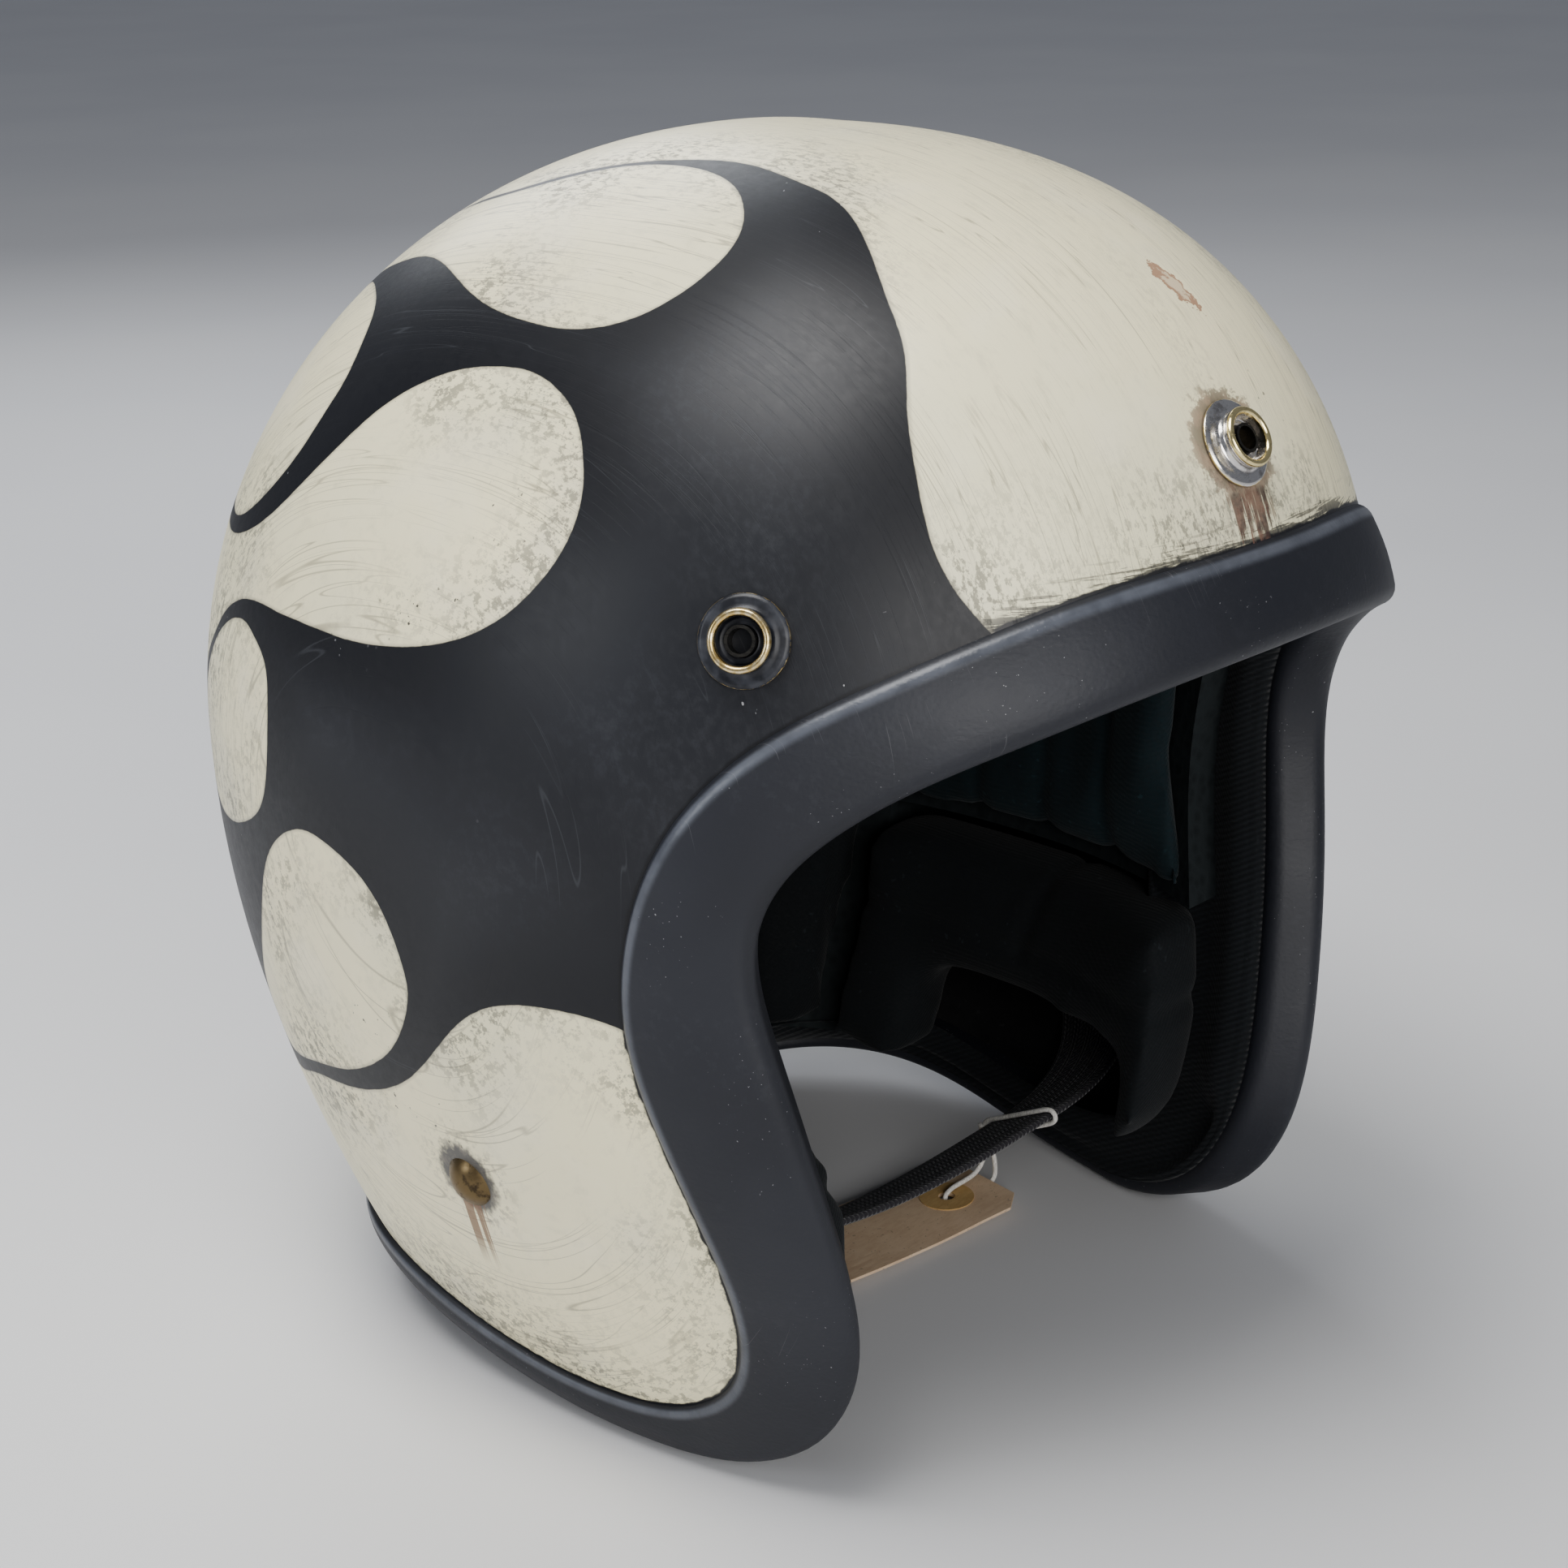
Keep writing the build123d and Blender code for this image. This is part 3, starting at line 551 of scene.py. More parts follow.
def webbing():
    """woven strap: chevron ribs along it, from the along/across attributes in millimetres"""
    m = Mat("webbing")
    u, v = m.attr("along"), m.attr("across")
    zig = m.math("PINGPONG", v, 2.2)
    rib = m.math("SINE", m.mul(m.add(u, m.mul(zig, 0.9)), 4.6))
    cord_ = m.math("SINE", m.mul(v, 5.7))
    h = m.add(m.mul(rib, 0.5), m.mul(cord_, 0.35))
    fuzz = m.noise(1600, 4, 0.7)
    edge = m.ss(m.math("ABSOLUTE", v), 9.2, 10.6)
    col = m.mix(m.ss(h, -0.7, 0.7), (0.007, 0.007, 0.009), (0.022, 0.021, 0.026))
    col = m.mix(m.mul(m.ss(fuzz, 0.5, 0.7), 0.4), col, (0.045, 0.042, 0.048))
    col = m.mix(m.mul(edge, 0.35), col, (0.045, 0.042, 0.048))
    m.set(Base_Color=col, Roughness=m.lin(fuzz, 0.3, 0.7, 0.72, 0.88))
    m.b.inputs["Sheen Weight"].default_value = 0.35
    m.b.inputs["Sheen Roughness"].default_value = 0.4
    m.bump(m.add(h, m.mul(fuzz, 0.5)), 0.7, 0.00035)
    return m.m


def kraft(name, a, b):
    m = Mat(name)
    fib = m.noise(1.0, 5, 0.7, m.map(None, (260, 900, 900), (0, 0, -0.12)))
    n = m.noise(110, 4, 0.6)
    col = m.mix(m.ss(m.add(m.mul(fib, 0.6), m.mul(n, 0.5)), 0.40, 0.68), a, b)
    fl = m.mul(m.ss(m.noise(1300, 1), 0.70, 0.73), 0.5)
    col = m.mix(fl, col, tuple(x * 0.45 for x in a))
    m.set(Base_Color=col, Roughness=m.lin(n, 0.3, 0.7, 0.78, 0.9))
    m.bump(m.add(m.mul(fib, 0.6), m.mul(n, 0.5)), 0.35, 0.00015)
    return m.m


def cotton():
    m = Mat("cotton_string")
    tw = m.noise(1.0, 4, 0.7, m.map(None, (2600, 2600, 900), (0.4, 0.6, 0.2)))
    col = m.mix(m.ss(tw, 0.38, 0.66), (0.62, 0.60, 0.56), (0.90, 0.885, 0.84))
    m.set(Base_Color=col, Roughness=m.lin(tw, 0.3, 0.7, 0.82, 0.94))
    m.b.inputs["Sheen Weight"].default_value = 0.3
    m.bump(tw, 0.7, 0.0002)
    return m.m


def foam():
    m = Mat("foam")
    cells = m.voronoi(330)
    col = m.mix(m.ss(cells, 0.1, 0.6), (0.0085, 0.0120, 0.0135), (0.0150, 0.0200, 0.0220))
    m.set(Base_Color=col, Roughness=m.lin(m.noise(90, 3), 0.3, 0.7, 0.80, 0.92))
    m.bump(cells, 0.5, 0.0004)
    return m.m


M = {
    "paint": paint(), "rubber": rubber(),
    "chrome": metal("snap_chrome", (0.72, 0.70, 0.68), (0.86, 0.74, 0.42), 0.17, (0.06, 0.045, 0.04), 0.45),
    "black_snap": black_snap(),
    "brass": metal("snap_brass", (0.10, 0.095, 0.085), (0.62, 0.60, 0.56), 0.30, (0.02, 0.02, 0.02), 0.3),
    "rivet": metal("rivet_brass", (0.175, 0.130, 0.070), (0.36, 0.27, 0.13), 0.34, (0.045, 0.034, 0.026), 0.75, 0.9, 300),
    "zinc": metal("zinc_steel", (0.42, 0.42, 0.43), (0.55, 0.55, 0.55), 0.42, (0.10, 0.09, 0.08), 0.3),
    "ring": metal("ring_steel", (0.55, 0.55, 0.56), (0.62, 0.60, 0.56), 0.24, (0.08, 0.07, 0.06), 0.25),
    # interior cloths: their own dark teal and charcoal, darkened further as painted shade for the shaded inside of the
    # helmet
    "lining": cloth("lining_cloth", (0.0022, 0.0100, 0.0135), (0.0036, 0.0160, 0.0210), 700, sheen=0.08),
    "pad": cloth("pad_cloth", (0.0026, 0.0042, 0.0058), (0.0052, 0.0080, 0.0100), 800, sheen=0.06),
    "knit": cloth("binding_knit", (0.0032, 0.0044, 0.0062), (0.0066, 0.0088, 0.0112), 800, sheen=0.08, ribs=(0.0, 2300.0, 4200.0)),
    "web": webbing(), "kraft": kraft("kraft_card", (0.66, 0.49, 0.34), (0.74, 0.58, 0.42)),
    "patch": kraft("patch_paper", (0.52, 0.35, 0.16), (0.62, 0.44, 0.22)),
    "cotton": cotton(), "foam": foam(),
    "inner": cloth("shell_inside", (0.006, 0.006, 0.007), (0.012, 0.012, 0.013), 400, 0.8, 0.0),
}


# ------------------------------------------------------------------
# mesh helpers
# ------------------------------------------------------------------
def make(name, verts, faces, mat, body, replaces=(), smooth=True, attrs=None):
    me = bpy.data.meshes.new(name)
    me.from_pydata([tuple(map(float, v)) for v in verts], [], [tuple(int(i) for i in f) for f in faces])
    me.validate()
    me.materials.append(mat)
    if smooth:
        me.polygons.foreach_set("use_smooth", [True] * len(me.polygons))
    for k, a in (attrs or {}).items():
        at = me.attributes.new(k, "FLOAT", "POINT")
        at.data.foreach_set("value", np.asarray(a, np.float32))
    me.update()
    o = bpy.data.objects.new(name, me)
    scene.collection.objects.link(o)
    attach(o, body)
    if replaces:
        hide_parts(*replaces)
    return o


def outward(o, centre=None):
    bm = bmesh.new()
    bm.from_mesh(o.data)
    bmesh.ops.recalc_face_normals(bm, faces=bm.faces)
    bm.to_mesh(o.data)
    bm.free()


def grid_faces(rows, cols, wrap_r=False, wrap_c=False, flip=False):
    f = []
    for i in range(rows if wrap_r else rows - 1):
        for j in range(cols if wrap_c else cols - 1):
            a, b = i * cols + j, i * cols + (j + 1) % cols
            c, d = ((i + 1) % rows) * cols + (j + 1) % cols, ((i + 1) % rows) * cols + j
            f.append((d, c, b, a) if flip else (a, b, c, d))
    return f


def lathe(name, origin, axis, profile, mat, body, segs=96, wear=None, replaces=(), closed=True):
    """profile is (radius, height) along the axis, in millimetres"""
    z = Vector(axis).normalized()
    x = z.orthogonal().normalized()
    y = z.cross(x)
    P = spline(profile, max(60, len(profile) * 5)) if closed is None else np.asarray(profile, float)
    vs, ws = [], []
    for k, (r, h) in enumerate(P):
        for s in range(segs):
            a = 2 * math.pi * s / segs
            vs.append(Vector(origin) + (x * math.cos(a) * r + y * math.sin(a) * r + z * h) / 1000)
            ws.append(wear(r, h) if wear else 0.0)
    o = make(name, vs, grid_faces(len(P), segs, closed is True, True), mat, body, replaces, attrs={"wear": ws})
    outward(o)
    return o


def rounded(profile, radius=0.25, n=4, closed=True):
    """fillets the corners of a polyline"""
    p = [np.asarray(q, float) for q in profile]
    out = []
    m = len(p)
    for i in range(m):
        if not closed and i in (0, m - 1):
            out.append(p[i])
            continue
        a, b, c = p[i - 1], p[i], p[(i + 1) % m]
        u, v = a - b, c - b
        lu, lv = np.linalg.norm(u), np.linalg.norm(v)
        r = min(radius, lu * 0.45, lv * 0.45)
        s, e = b + u / lu * r, b + v / lv * r
        for k in range(n + 1):
            t = k / n
            out.append((1 - t) ** 2 * s + 2 * t * (1 - t) * b + t * t * e)
    return np.array(out)


# ------------------------------------------------------------------
# shell with its painted pattern
# ------------------------------------------------------------------
def cube_dome(n=84, low=-1.40):
    def face(rot):
        m = int(round(n * (1 - low) / 2))
        u = np.tan(np.linspace(-1, 1, n + 1) * math.pi / 4)
        v = np.tan(np.linspace(low, 1, m + 1) * math.pi / 4)
        U, V = np.meshgrid(u, v)
        d = np.stack([U, -np.ones_like(U), V], -1).reshape(-1, 3)
        c, s = math.cos(rot), math.sin(rot)
        d = d @ np.array([[c, s, 0], [-s, c, 0], [0, 0, 1]])
        return d, grid_faces(m + 1, n + 1)
    V, F = [], []
    for k in range(4):
        d, f = face(k * math.pi / 2)
        F += [tuple(i + sum(len(x) for x in V) for i in q) for q in f]
        V.append(d)
    u = np.tan(np.linspace(-1, 1, n + 1) * math.pi / 4)
    U, W = np.meshgrid(u, u)
    d = np.stack([U, W, np.ones_like(U)], -1).reshape(-1, 3)
    F += [tuple(i + sum(len(x) for x in V) for i in q) for q in grid_faces(n + 1, n + 1)]
    V.append(d)
    D = np.vstack(V)
    D /= np.linalg.norm(D, axis=1)[:, None]
    key, idx, D2 = {}, np.empty(len(D), int), []
    for i, d in enumerate(np.round(D, 6)):
        k = tuple(d + 0.0)
        if k not in key:
            key[k] = len(D2)
            D2.append(D[i])
        idx[i] = key[k]
    F = [tuple(idx[i] for i in q) for q in F]
    return np.array(D2), F


def project(D, t=0.0):
    """along unit directions from the middle of the widest level to the surface"""
    phi = np.arctan2(-D[:, 0], -D[:, 1])
    rho = np.hypot(D[:, 0], D[:, 1])
    lo, hi = np.full(len(D), 10.0), np.full(len(D), 260.0)
    for _ in range(42):
        mid = (lo + hi) / 2
        p = surf(phi, mid * D[:, 2], t)
        out = (np.hypot(p[:, 0], p[:, 1]) < mid * rho) | (mid * D[:, 2] > CROWN - t)
        lo, hi = np.where(out, lo, mid), np.where(out, mid, hi)
    return D * ((lo + hi) / 2)[:, None]


FRONT_LINE = [(26.5, 44.0), (29.3, 52.3), (31.2, 57.2), (33.2, 64.6), (34.2, 76.2), (34.1, 88.6), (33.2, 97.1),
              (33.6, 104.3), (34.1, 113.6), (37.1, 119.1), (43.5, 121.1), (54.7, 122.6), (72.6, 122.8),
              (103.3, 121.5), (122.7, 118.1), (133.3, 114.0), (138.2, 112.3), (146.6, 107.9)]
T1_LINE = [(146.6, 107.9), (137.5, 111.6), (127.4, 115.3), (112.4, 119.8), (85.4, 121.6), (67.8, 121.2), (55.0, 117.5), (55.2, 111.6),
           (60.2, 105.9), (67.9, 100.3), (73.5, 98.0), (79.9, 96.9), (87.7, 97.0), (97.4, 98.1), (108.2, 100.5),
           (116.7, 102.3), (124.8, 102.8), (130.7, 101.8), (136.9, 99.3), (143.5, 96.0), (148.5, 91.5), (152.5, 85.0),
           (155.0, 77.0), (155.6, 68.0), (153.5, 58.5), (149.0, 51.5), (141.0, 46.6), (130.8, 45.7), (124.3, 49.5),
           (120.2, 54.0), (114.8, 63.3), (110.6, 71.7), (106.6, 78.9), (102.0, 83.9), (96.4, 87.5), (89.9, 89.3),
           (82.9, 89.7), (76.6, 87.6), (72.3, 83.6), (69.8, 77.4), (69.0, 72.1), (69.6, 65.3), (71.6, 58.7),
           (74.7, 52.4), (79.3, 46.6), (84.6, 42.7), (91.2, 40.0), (99.0, 38.6), (106.0, 38.6), (112.4, 38.4),
           (117.0, 38.2), (122.1, 36.0), (126.4, 31.0), (129.4, 25.2), (133.0, 18.5), (136.6, 9.5), (139.2, -1.5),
           (140.8, -14.0), (141.6, -30.0), (140.6, -46.0), (137.6, -58.5), (133.2, -67.5), (127.2, -72.4),
           (115.2, -66.0), (107.4, -62.6), (100.4, -58.7), (95.3, -54.2), (90.5, -47.5), (86.4, -39.7), (82.9, -32.7),
           (79.3, -27.3), (74.4, -23.5), (70.0, -22.4), (65.9, -22.5), (63.2, -23.4), (58.5, -26.5)]
O1 = [(144.0, 93.2), (138.0, 94.8), (131.9, 94.6), (124.8, 91.9), (120.1, 85.9), (118.3, 80.7), (118.4, 73.7), (119.4, 66.8),
      (121.9, 60.1), (125.9, 53.5), (131.6, 49.0), (138.4, 49.4), (145.0, 52.8), (149.8, 59.0), (152.2, 68.0), (152.0, 77.5), (149.2, 86.5)]
O2 = [(122.9, 31.7), (119.4, 33.0), (116.5, 31.5), (113.0, 27.3), (111.8, 21.1), (111.5, 14.6), (111.8, 6.5), (112.9, -0.1), (115.3, -5.7),
      (120.5, -11.1), (126.1, -13.7), (131.6, -12.0), (134.8, -4.5), (135.0, 4.5), (133.2, 13.0), (130.0, 21.0), (126.6, 27.4)]
O3 = [(106.1, -3.3), (113.0, -12.5), (118.1, -28.8), (123.6, -45.4), (127.6, -58.0), (126.6, -66.0), (121.0, -66.2), (113.6, -61.9),
      (106.1, -57.8), (99.7, -52.3), (94.4, -44.8), (90.9, -35.7), (89.6, -28.4), (90.2, -21.2), (92.2, -12.8), (96.1, -6.3), (101.5, -3.0)]



def fan(angles, r=200.0):
    return np.array([(r * math.cos(math.radians(a)), r * math.sin(math.radians(a))) for a in angles])


front_cream = np.vstack([spline(on_chart(FRONT_LINE), 420), fan((50, 70, 90, 110, 130, 150, 175))])
rear_cream = np.vstack([spline(on_chart(T1_LINE), 1300), fan((-150, -120, -90, -60, -30, 0, 30, 70))])
ovals = [spline(on_chart(o), 160, closed=True) for o in (O1, O2, O3)]


def cream_distance(p):
    """signed distances into the front, rear and oval cream fields, one array each"""
    q = chart(p)
    out = np.empty((3, len(q)))
    for s in range(0, len(q), 2500):
        c = q[s:s + 2500]
        for k, group in enumerate(((front_cream,), (rear_cream,), ovals)):
            out[k, s:s + 2500] = np.max([seg_distance(c, np.vstack([o, o[:1]])) * np.where(inside(c, o) > 0, 1, -1) for o in group], 0)
    return out


B_HALF = line_on_surface(BOUNDARY, 1400)


def build_shell():
    D, F = cube_dome()
    P = project(D)
    f = side_distance(P[:, 1], P[:, 2], BOUNDARY)
    F = np.array(F)
    keep = (f[F] > -4.0).any(1)
    F = F[keep]
    used = np.unique(F)
    # vertices past the hidden margin come back onto it
    out = [i for i in used if f[i] < -4.0]
    q = spline(shift_line(BOUNDARY, -4.0), 900)
    for i in out:
        d = np.hypot(q[:, 0] - P[i, 1], q[:, 1] - P[i, 2])
        k = d.argmin()
        z = q[k, 1]
        y = q[k, 0]
        lo, hi = 0.0, math.pi
        for _ in range(30):
            mid = (lo + hi) / 2
            if surf(mid, z)[1] < y:
                lo = mid
            else:
                hi = mid
        s = surf((lo + hi) / 2, z)
        if abs(P[i, 0]) > 12:
            P[i] = (math.copysign(s[0], P[i, 0]), s[1], s[2])
        else:
            r = math.hypot(P[i, 0], P[i, 1])
            ph = math.atan2(-P[i, 0], -P[i, 1])
            P[i] = surf(ph, z)
    new = -np.ones(len(P), int)
    new[used] = np.arange(len(used))
    P, F = P[used], new[F]
    cream = cream_distance(P)
    edge = np.empty(len(P))
    A = P.copy()
    A[:, 0] = -np.abs(A[:, 0])
    bl = B_HALF[::3]
    for s in range(0, len(P), 3000):
        edge[s:s + 3000] = np.sqrt(((A[s:s + 3000, None] - bl[None]) ** 2).sum(-1).min(1))
    fy = side_distance(P[:, 1], P[:, 2], BOUNDARY)
    edge = np.where(fy < 0, -edge, edge)
    o = make("helmet_shell", metres(P), F, M["paint"], "helmet", ("outer_shell",),
             attrs={"cream_a": cream[0], "cream_b": cream[1], "cream_c": cream[2], "edge": edge})
    outward(o)
    s = o.modifiers.new("wall", "SOLIDIFY")
    s.thickness, s.offset = 0.0036, -1.0
    o.data.materials.append(M["inner"])
    s.material_offset = 1
    s.use_even_offset = False
    return o


def shift_line(points, d):
    out = []
    for i, (y, z) in enumerate(points):
        a, b = points[max(0, i - 1)], points[min(len(points) - 1, i + 1)]
        ty, tz = b[0] - a[0], b[1] - a[1]
        m = math.hypot(ty, tz)
        out.append((y - tz / m * d, z + ty / m * d))
    out[0] = (points[0][0], points[0][1] + d)
    out[-1] = (points[-1][0], points[-1][1] + d)
    return out


# ------------------------------------------------------------------
# edge trim and knit binding: one section swept round the whole rim
# ------------------------------------------------------------------
N_RIM = 240


def rim_frames(n=N_RIM):
    """matched points of the shell line and the trim's outer edge, half way round"""
    B = resample(B_HALF, n)
    E = line_on_surface(EDGE, 3000)
    T = np.gradient(B, axis=0)
    T /= np.linalg.norm(T, axis=1)[:, None]
    L = np.linspace(0, 1, len(E))
    u = np.zeros(n)
    last = 0.0
    for i in range(n):
        s = (E - B[i]) @ T[i]
        c = np.nonzero((s[:-1] <= 0) & (s[1:] > 0))[0]
        if len(c):
            k = c[np.argmin(np.linalg.norm(E[c] - B[i], axis=1))]
            u[i] = L[k]
        else:
            u[i] = last
        last = u[i]
    u[0], u[-1] = 0.0, 1.0
    u = np.maximum.accumulate(u)
    for _ in range(4):
        v = np.convolve(np.pad(u, 4, mode="reflect", reflect_type="odd"), np.ones(9) / 9, "valid")
        u = v
        u[0], u[-1] = 0.0, 1.0
    Em = np.stack([np.interp(u, L, E[:, k]) for k in range(3)], -1)
    Em[0, 0] = Em[-1, 0] = 0.0
    return B, Em


RIM_B, RIM_E = rim_frames()


def rim_point(i, d, h):
    """d mm from the shell line towards the rim's edge, h mm outside the shell's surface"""
    B, E = RIM_B[i], RIM_E[i]
    w = np.linalg.norm(E - B)
    P = B + (E - B) * (d / w)
    phi = math.atan2(-P[0], -P[1])
    s = surf(phi, P[2], -h)
    if i == 0 or i == len(RIM_B) - 1:
        s[0] = 0.0
    return s


def sweep_rim(name, section, mat, replaces, closed=True, attr=True):
    """section(i, width) gives the (d, h) points of one cross-section"""
    rows, across = [], []
    for i in range(len(RIM_B)):
        w = np.linalg.norm(RIM_E[i] - RIM_B[i])
        sec = section(i, w)
        rows.append([rim_point(i, d, h) for d, h in sec])
        across.append([d for d, h in sec])
    R = np.array(rows)
    A = np.array(across)
    m = R.shape[1]
    left = R[-2:0:-1].copy()
    left[..., 0] *= -1
    full = np.concatenate([R, left])
    fa = np.concatenate([A, A[-2:0:-1]])
    o = make(name, metres(full.reshape(-1, 3)), grid_faces(len(full), m, True, closed), mat, "helmet", replaces,
             attrs={"across": fa.reshape(-1)})
    outward(o)
    return o


def trim_section(i, w):
    B = RIM_B[i]
    phi = math.degrees(math.atan2(-B[0], -B[1]))
    brow = float(smoothstep(phi, 52, 26)) * (1.0 if B[2] > 20 else 0.0)
    cheek = 1.0 - brow
    top = 2.2
    edge_h = top + 1.9 * brow + 0.3
    R1 = min(4.6, w * 0.40)
    depth = -8.6 - 2.4 * float(smoothstep(w, 10, 16))
    pts = [(-0.15, -0.9), (0.05, -0.2), (0.12, 0.35), (0.35, 0.95), (0.8, 1.5), (1.5, 1.95), (2.4, 2.2)]
    for k in range(1, 7):
        d = 2.4 + (w - R1 - 2.4) * k / 6
        q = k / 6
        pts.append((d, top + (edge_h - top) * q + 0.35 * math.sin(math.pi * q)))
    for k in range(1, 7):
        a = math.radians(90 * k / 6)
        pts.append((w - R1 + R1 * math.sin(a), edge_h - R1 + R1 * math.cos(a)))
    R2 = 3.4
    for k in range(1, 4):
        pts.append((w, edge_h - R1 + (depth + R2 - edge_h + R1) * k / 3))
    for k in range(1, 7):
        a = math.radians(90 * k / 6)
        pts.append((w - R2 + R2 * math.cos(a), depth + R2 - R2 * math.sin(a)))
    pts.append((w * 0.45, depth + 0.1))
    pts.append((0.6, depth + 0.4))
    pts.append((-0.1, depth + 1.6))
    pts.append((-0.15, -4.2))
    return pts


def knit_section(i, w):
    B = RIM_B[i]
    low = float(smoothstep(B[2], -88, -100)) * float(smoothstep(B[1], 46, 32))
    depth = -9.2 - 2.4 * float(smoothstep(w, 10, 16))
    reach = 1.0 - low
    path = [(w - 4.2, depth - 0.2), (w - 4.8, depth - 1.6), (w - 6.2, depth - 3.0 * reach - 0.8)]
    far = [(w * 0.35, -12.5 - 3.2 * reach), (0.5, -13.5 - 5.5 * reach), (-2.0, -14.0 - 8.5 * reach), (-3.6, -14.0 - 12.0 * reach)]
    front = spline(np.array(path + far), 13)
    back = front[::-1] + np.array([0.9, 1.1])
    return [tuple(p) for p in front] + [tuple(p) for p in back]


# ------------------------------------------------------------------
# soft pads: the CAD solid's form, remeshed, swelled with cloth, then seamed
# ------------------------------------------------------------------
def wedge(sign, y0, y1, z0, z1, t0=16.4, t1=37.4):
    """closed block that follows the shell between two depths, in millimetres"""
    ny, nz, nt = 16, 5, 4
    vs = {}
    V, F = [], []

    def at(i, j, k):
        if (i, j, k) not in vs:
            y, z, t = y0 + (y1 - y0) * i / ny, z0 + (z1 - z0) * j / nz, t0 + (t1 - t0) * k / nt
            lo, hi = 0.0, math.pi
            for _ in range(28):
                mid = (lo + hi) / 2
                if surf(mid, z, t)[1] < y:
                    lo = mid
                else:
                    hi = mid
            p = surf((lo + hi) / 2, z, t)
            vs[(i, j, k)] = len(V)
            V.append((-sign * p[0], p[1], p[2]))
        return vs[(i, j, k)]
    for i in range(ny):
        for j in range(nz):
            F.append((at(i, j, 0), at(i + 1, j, 0), at(i + 1, j + 1, 0), at(i, j + 1, 0)))
            F.append((at(i, j, nt), at(i, j + 1, nt), at(i + 1, j + 1, nt), at(i + 1, j, nt)))
    for i in range(ny):
        for k in range(nt):
            F.append((at(i, 0, k), at(i, 0, k + 1), at(i + 1, 0, k + 1), at(i + 1, 0, k)))
            F.append((at(i, nz, k), at(i + 1, nz, k), at(i + 1, nz, k + 1), at(i, nz, k + 1)))
    for j in range(nz):
        for k in range(nt):
            F.append((at(0, j, k), at(0, j + 1, k), at(0, j + 1, k + 1), at(0, j, k + 1)))
            F.append((at(ny, j, k), at(ny, j, k + 1), at(ny, j + 1, k + 1), at(ny, j + 1, k)))
    return V, F


def settle(name, node, mat, body="helmet", voxel=0.0048, pressure=3.5, cap=0.004, shrink=0.0012, seams=None, frames=18, extra=(), relax=3):
    src = bpy.data.objects[node]
    me = src.data.copy()
    me.name = name
    bm = bmesh.new()
    bm.from_mesh(me)
    for V, F in extra:
        add_ = [bm.verts.new(tuple(metres(v))) for v in V]
        new = [bm.faces.new([add_[i] for i in f]) for f in F]
        bmesh.ops.recalc_face_normals(bm, faces=new)
    bm.to_mesh(me)
    bm.free()
    o = bpy.data.objects.new(name, me)
    o.matrix_world = src.matrix_world.copy()
    scene.collection.objects.link(o)
    me.materials.clear()
    me.materials.append(mat)
    for layer in list(me.uv_layers):
        me.uv_layers.remove(layer)
    bpy.ops.object.select_all(action="DESELECT")
    o.select_set(True)
    bpy.context.view_layer.objects.active = o
    r = o.modifiers.new("remesh", "REMESH")
    r.mode, r.voxel_size, r.adaptivity = "VOXEL", voxel, 0.0
    bpy.ops.object.modifier_apply(modifier="remesh")
    me = o.data
    n = len(me.vertices)
    co = np.empty(n * 3)
    me.vertices.foreach_get("co", co)
    no = np.empty(n * 3)
    me.vertices.foreach_get("normal", no)
    co, no = co.reshape(-1, 3), no.reshape(-1, 3)
    start = co - no * shrink
    me.vertices.foreach_set("co", start.reshape(-1))
    me.update()
    c = o.modifiers.new("cloth", "CLOTH")
    st = c.settings
    st.quality = 4
    st.mass = 0.15
    st.tension_stiffness = st.compression_stiffness = 12
    st.shear_stiffness = 6
    st.bending_stiffness = 0.4
    st.use_pressure = True
    st.uniform_pressure_force = pressure
    st.effector_weights.gravity = 0.0
    c.collision_settings.use_collision = False
    c.point_cache.frame_start, c.point_cache.frame_end = 1, frames
    for fr in range(1, frames + 1):
        scene.frame_set(fr)
    dg = bpy.context.evaluated_depsgraph_get()
    ev = o.evaluated_get(dg)
    moved = np.empty(n * 3)
    ev.data.vertices.foreach_get("co", moved)
    moved = moved.reshape(-1, 3)
    o.modifiers.remove(c)
    scene.frame_set(1)
    step = moved - co
    far = np.linalg.norm(step, axis=1)
    step *= np.minimum(1, cap / np.maximum(far, 1e-9))[:, None]
    co2 = co + np.nan_to_num(step)
    me.vertices.foreach_set("co", co2.reshape(-1))
    me.update()
    bm = bmesh.new()
    bm.from_mesh(me)
    for _ in range(relax):
        bmesh.ops.smooth_vert(bm, verts=bm.verts, factor=0.5, use_axis_x=True, use_axis_y=True, use_axis_z=True)
    bm.to_mesh(me)
    bm.free()
    sub = o.modifiers.new("subdivide", "SUBSURF")
    sub.levels = sub.render_levels = 1
    bpy.context.view_layer.objects.active = o
    bpy.ops.object.modifier_apply(modifier="subdivide")
    me = o.data
    if seams:
        n = len(me.vertices)
        co, no = np.empty(n * 3), np.empty(n * 3)
        me.vertices.foreach_get("co", co)
        me.vertices.foreach_get("normal", no)
        co, no = co.reshape(-1, 3), no.reshape(-1, 3)
        mm = co * 1000 - np.array([0, SHIFT_Y, LEVEL])
        co = co - no * (seams(mm) / 1000)[:, None]
        me.vertices.foreach_set("co", co.reshape(-1))
    me.polygons.foreach_set("use_smooth", [True] * len(me.polygons))
    me.update()
    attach(o, body)
    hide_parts(node)
    return o


def groove(d, depth, width):
    return depth * np.exp(-(d / width) ** 2)


def crown_seams(p):
    phi = np.degrees(np.arctan2(-p[:, 0], -p[:, 1]))
    r = np.hypot(p[:, 0], p[:, 1])
    out = np.zeros(len(p))
    for a in range(0, 180, 45):
        s = np.abs(np.sin(np.radians(phi - a)))
        out += groove(s * r, 1.6, 2.6)
    return out + groove(r - 34, 1.3, 2.4)


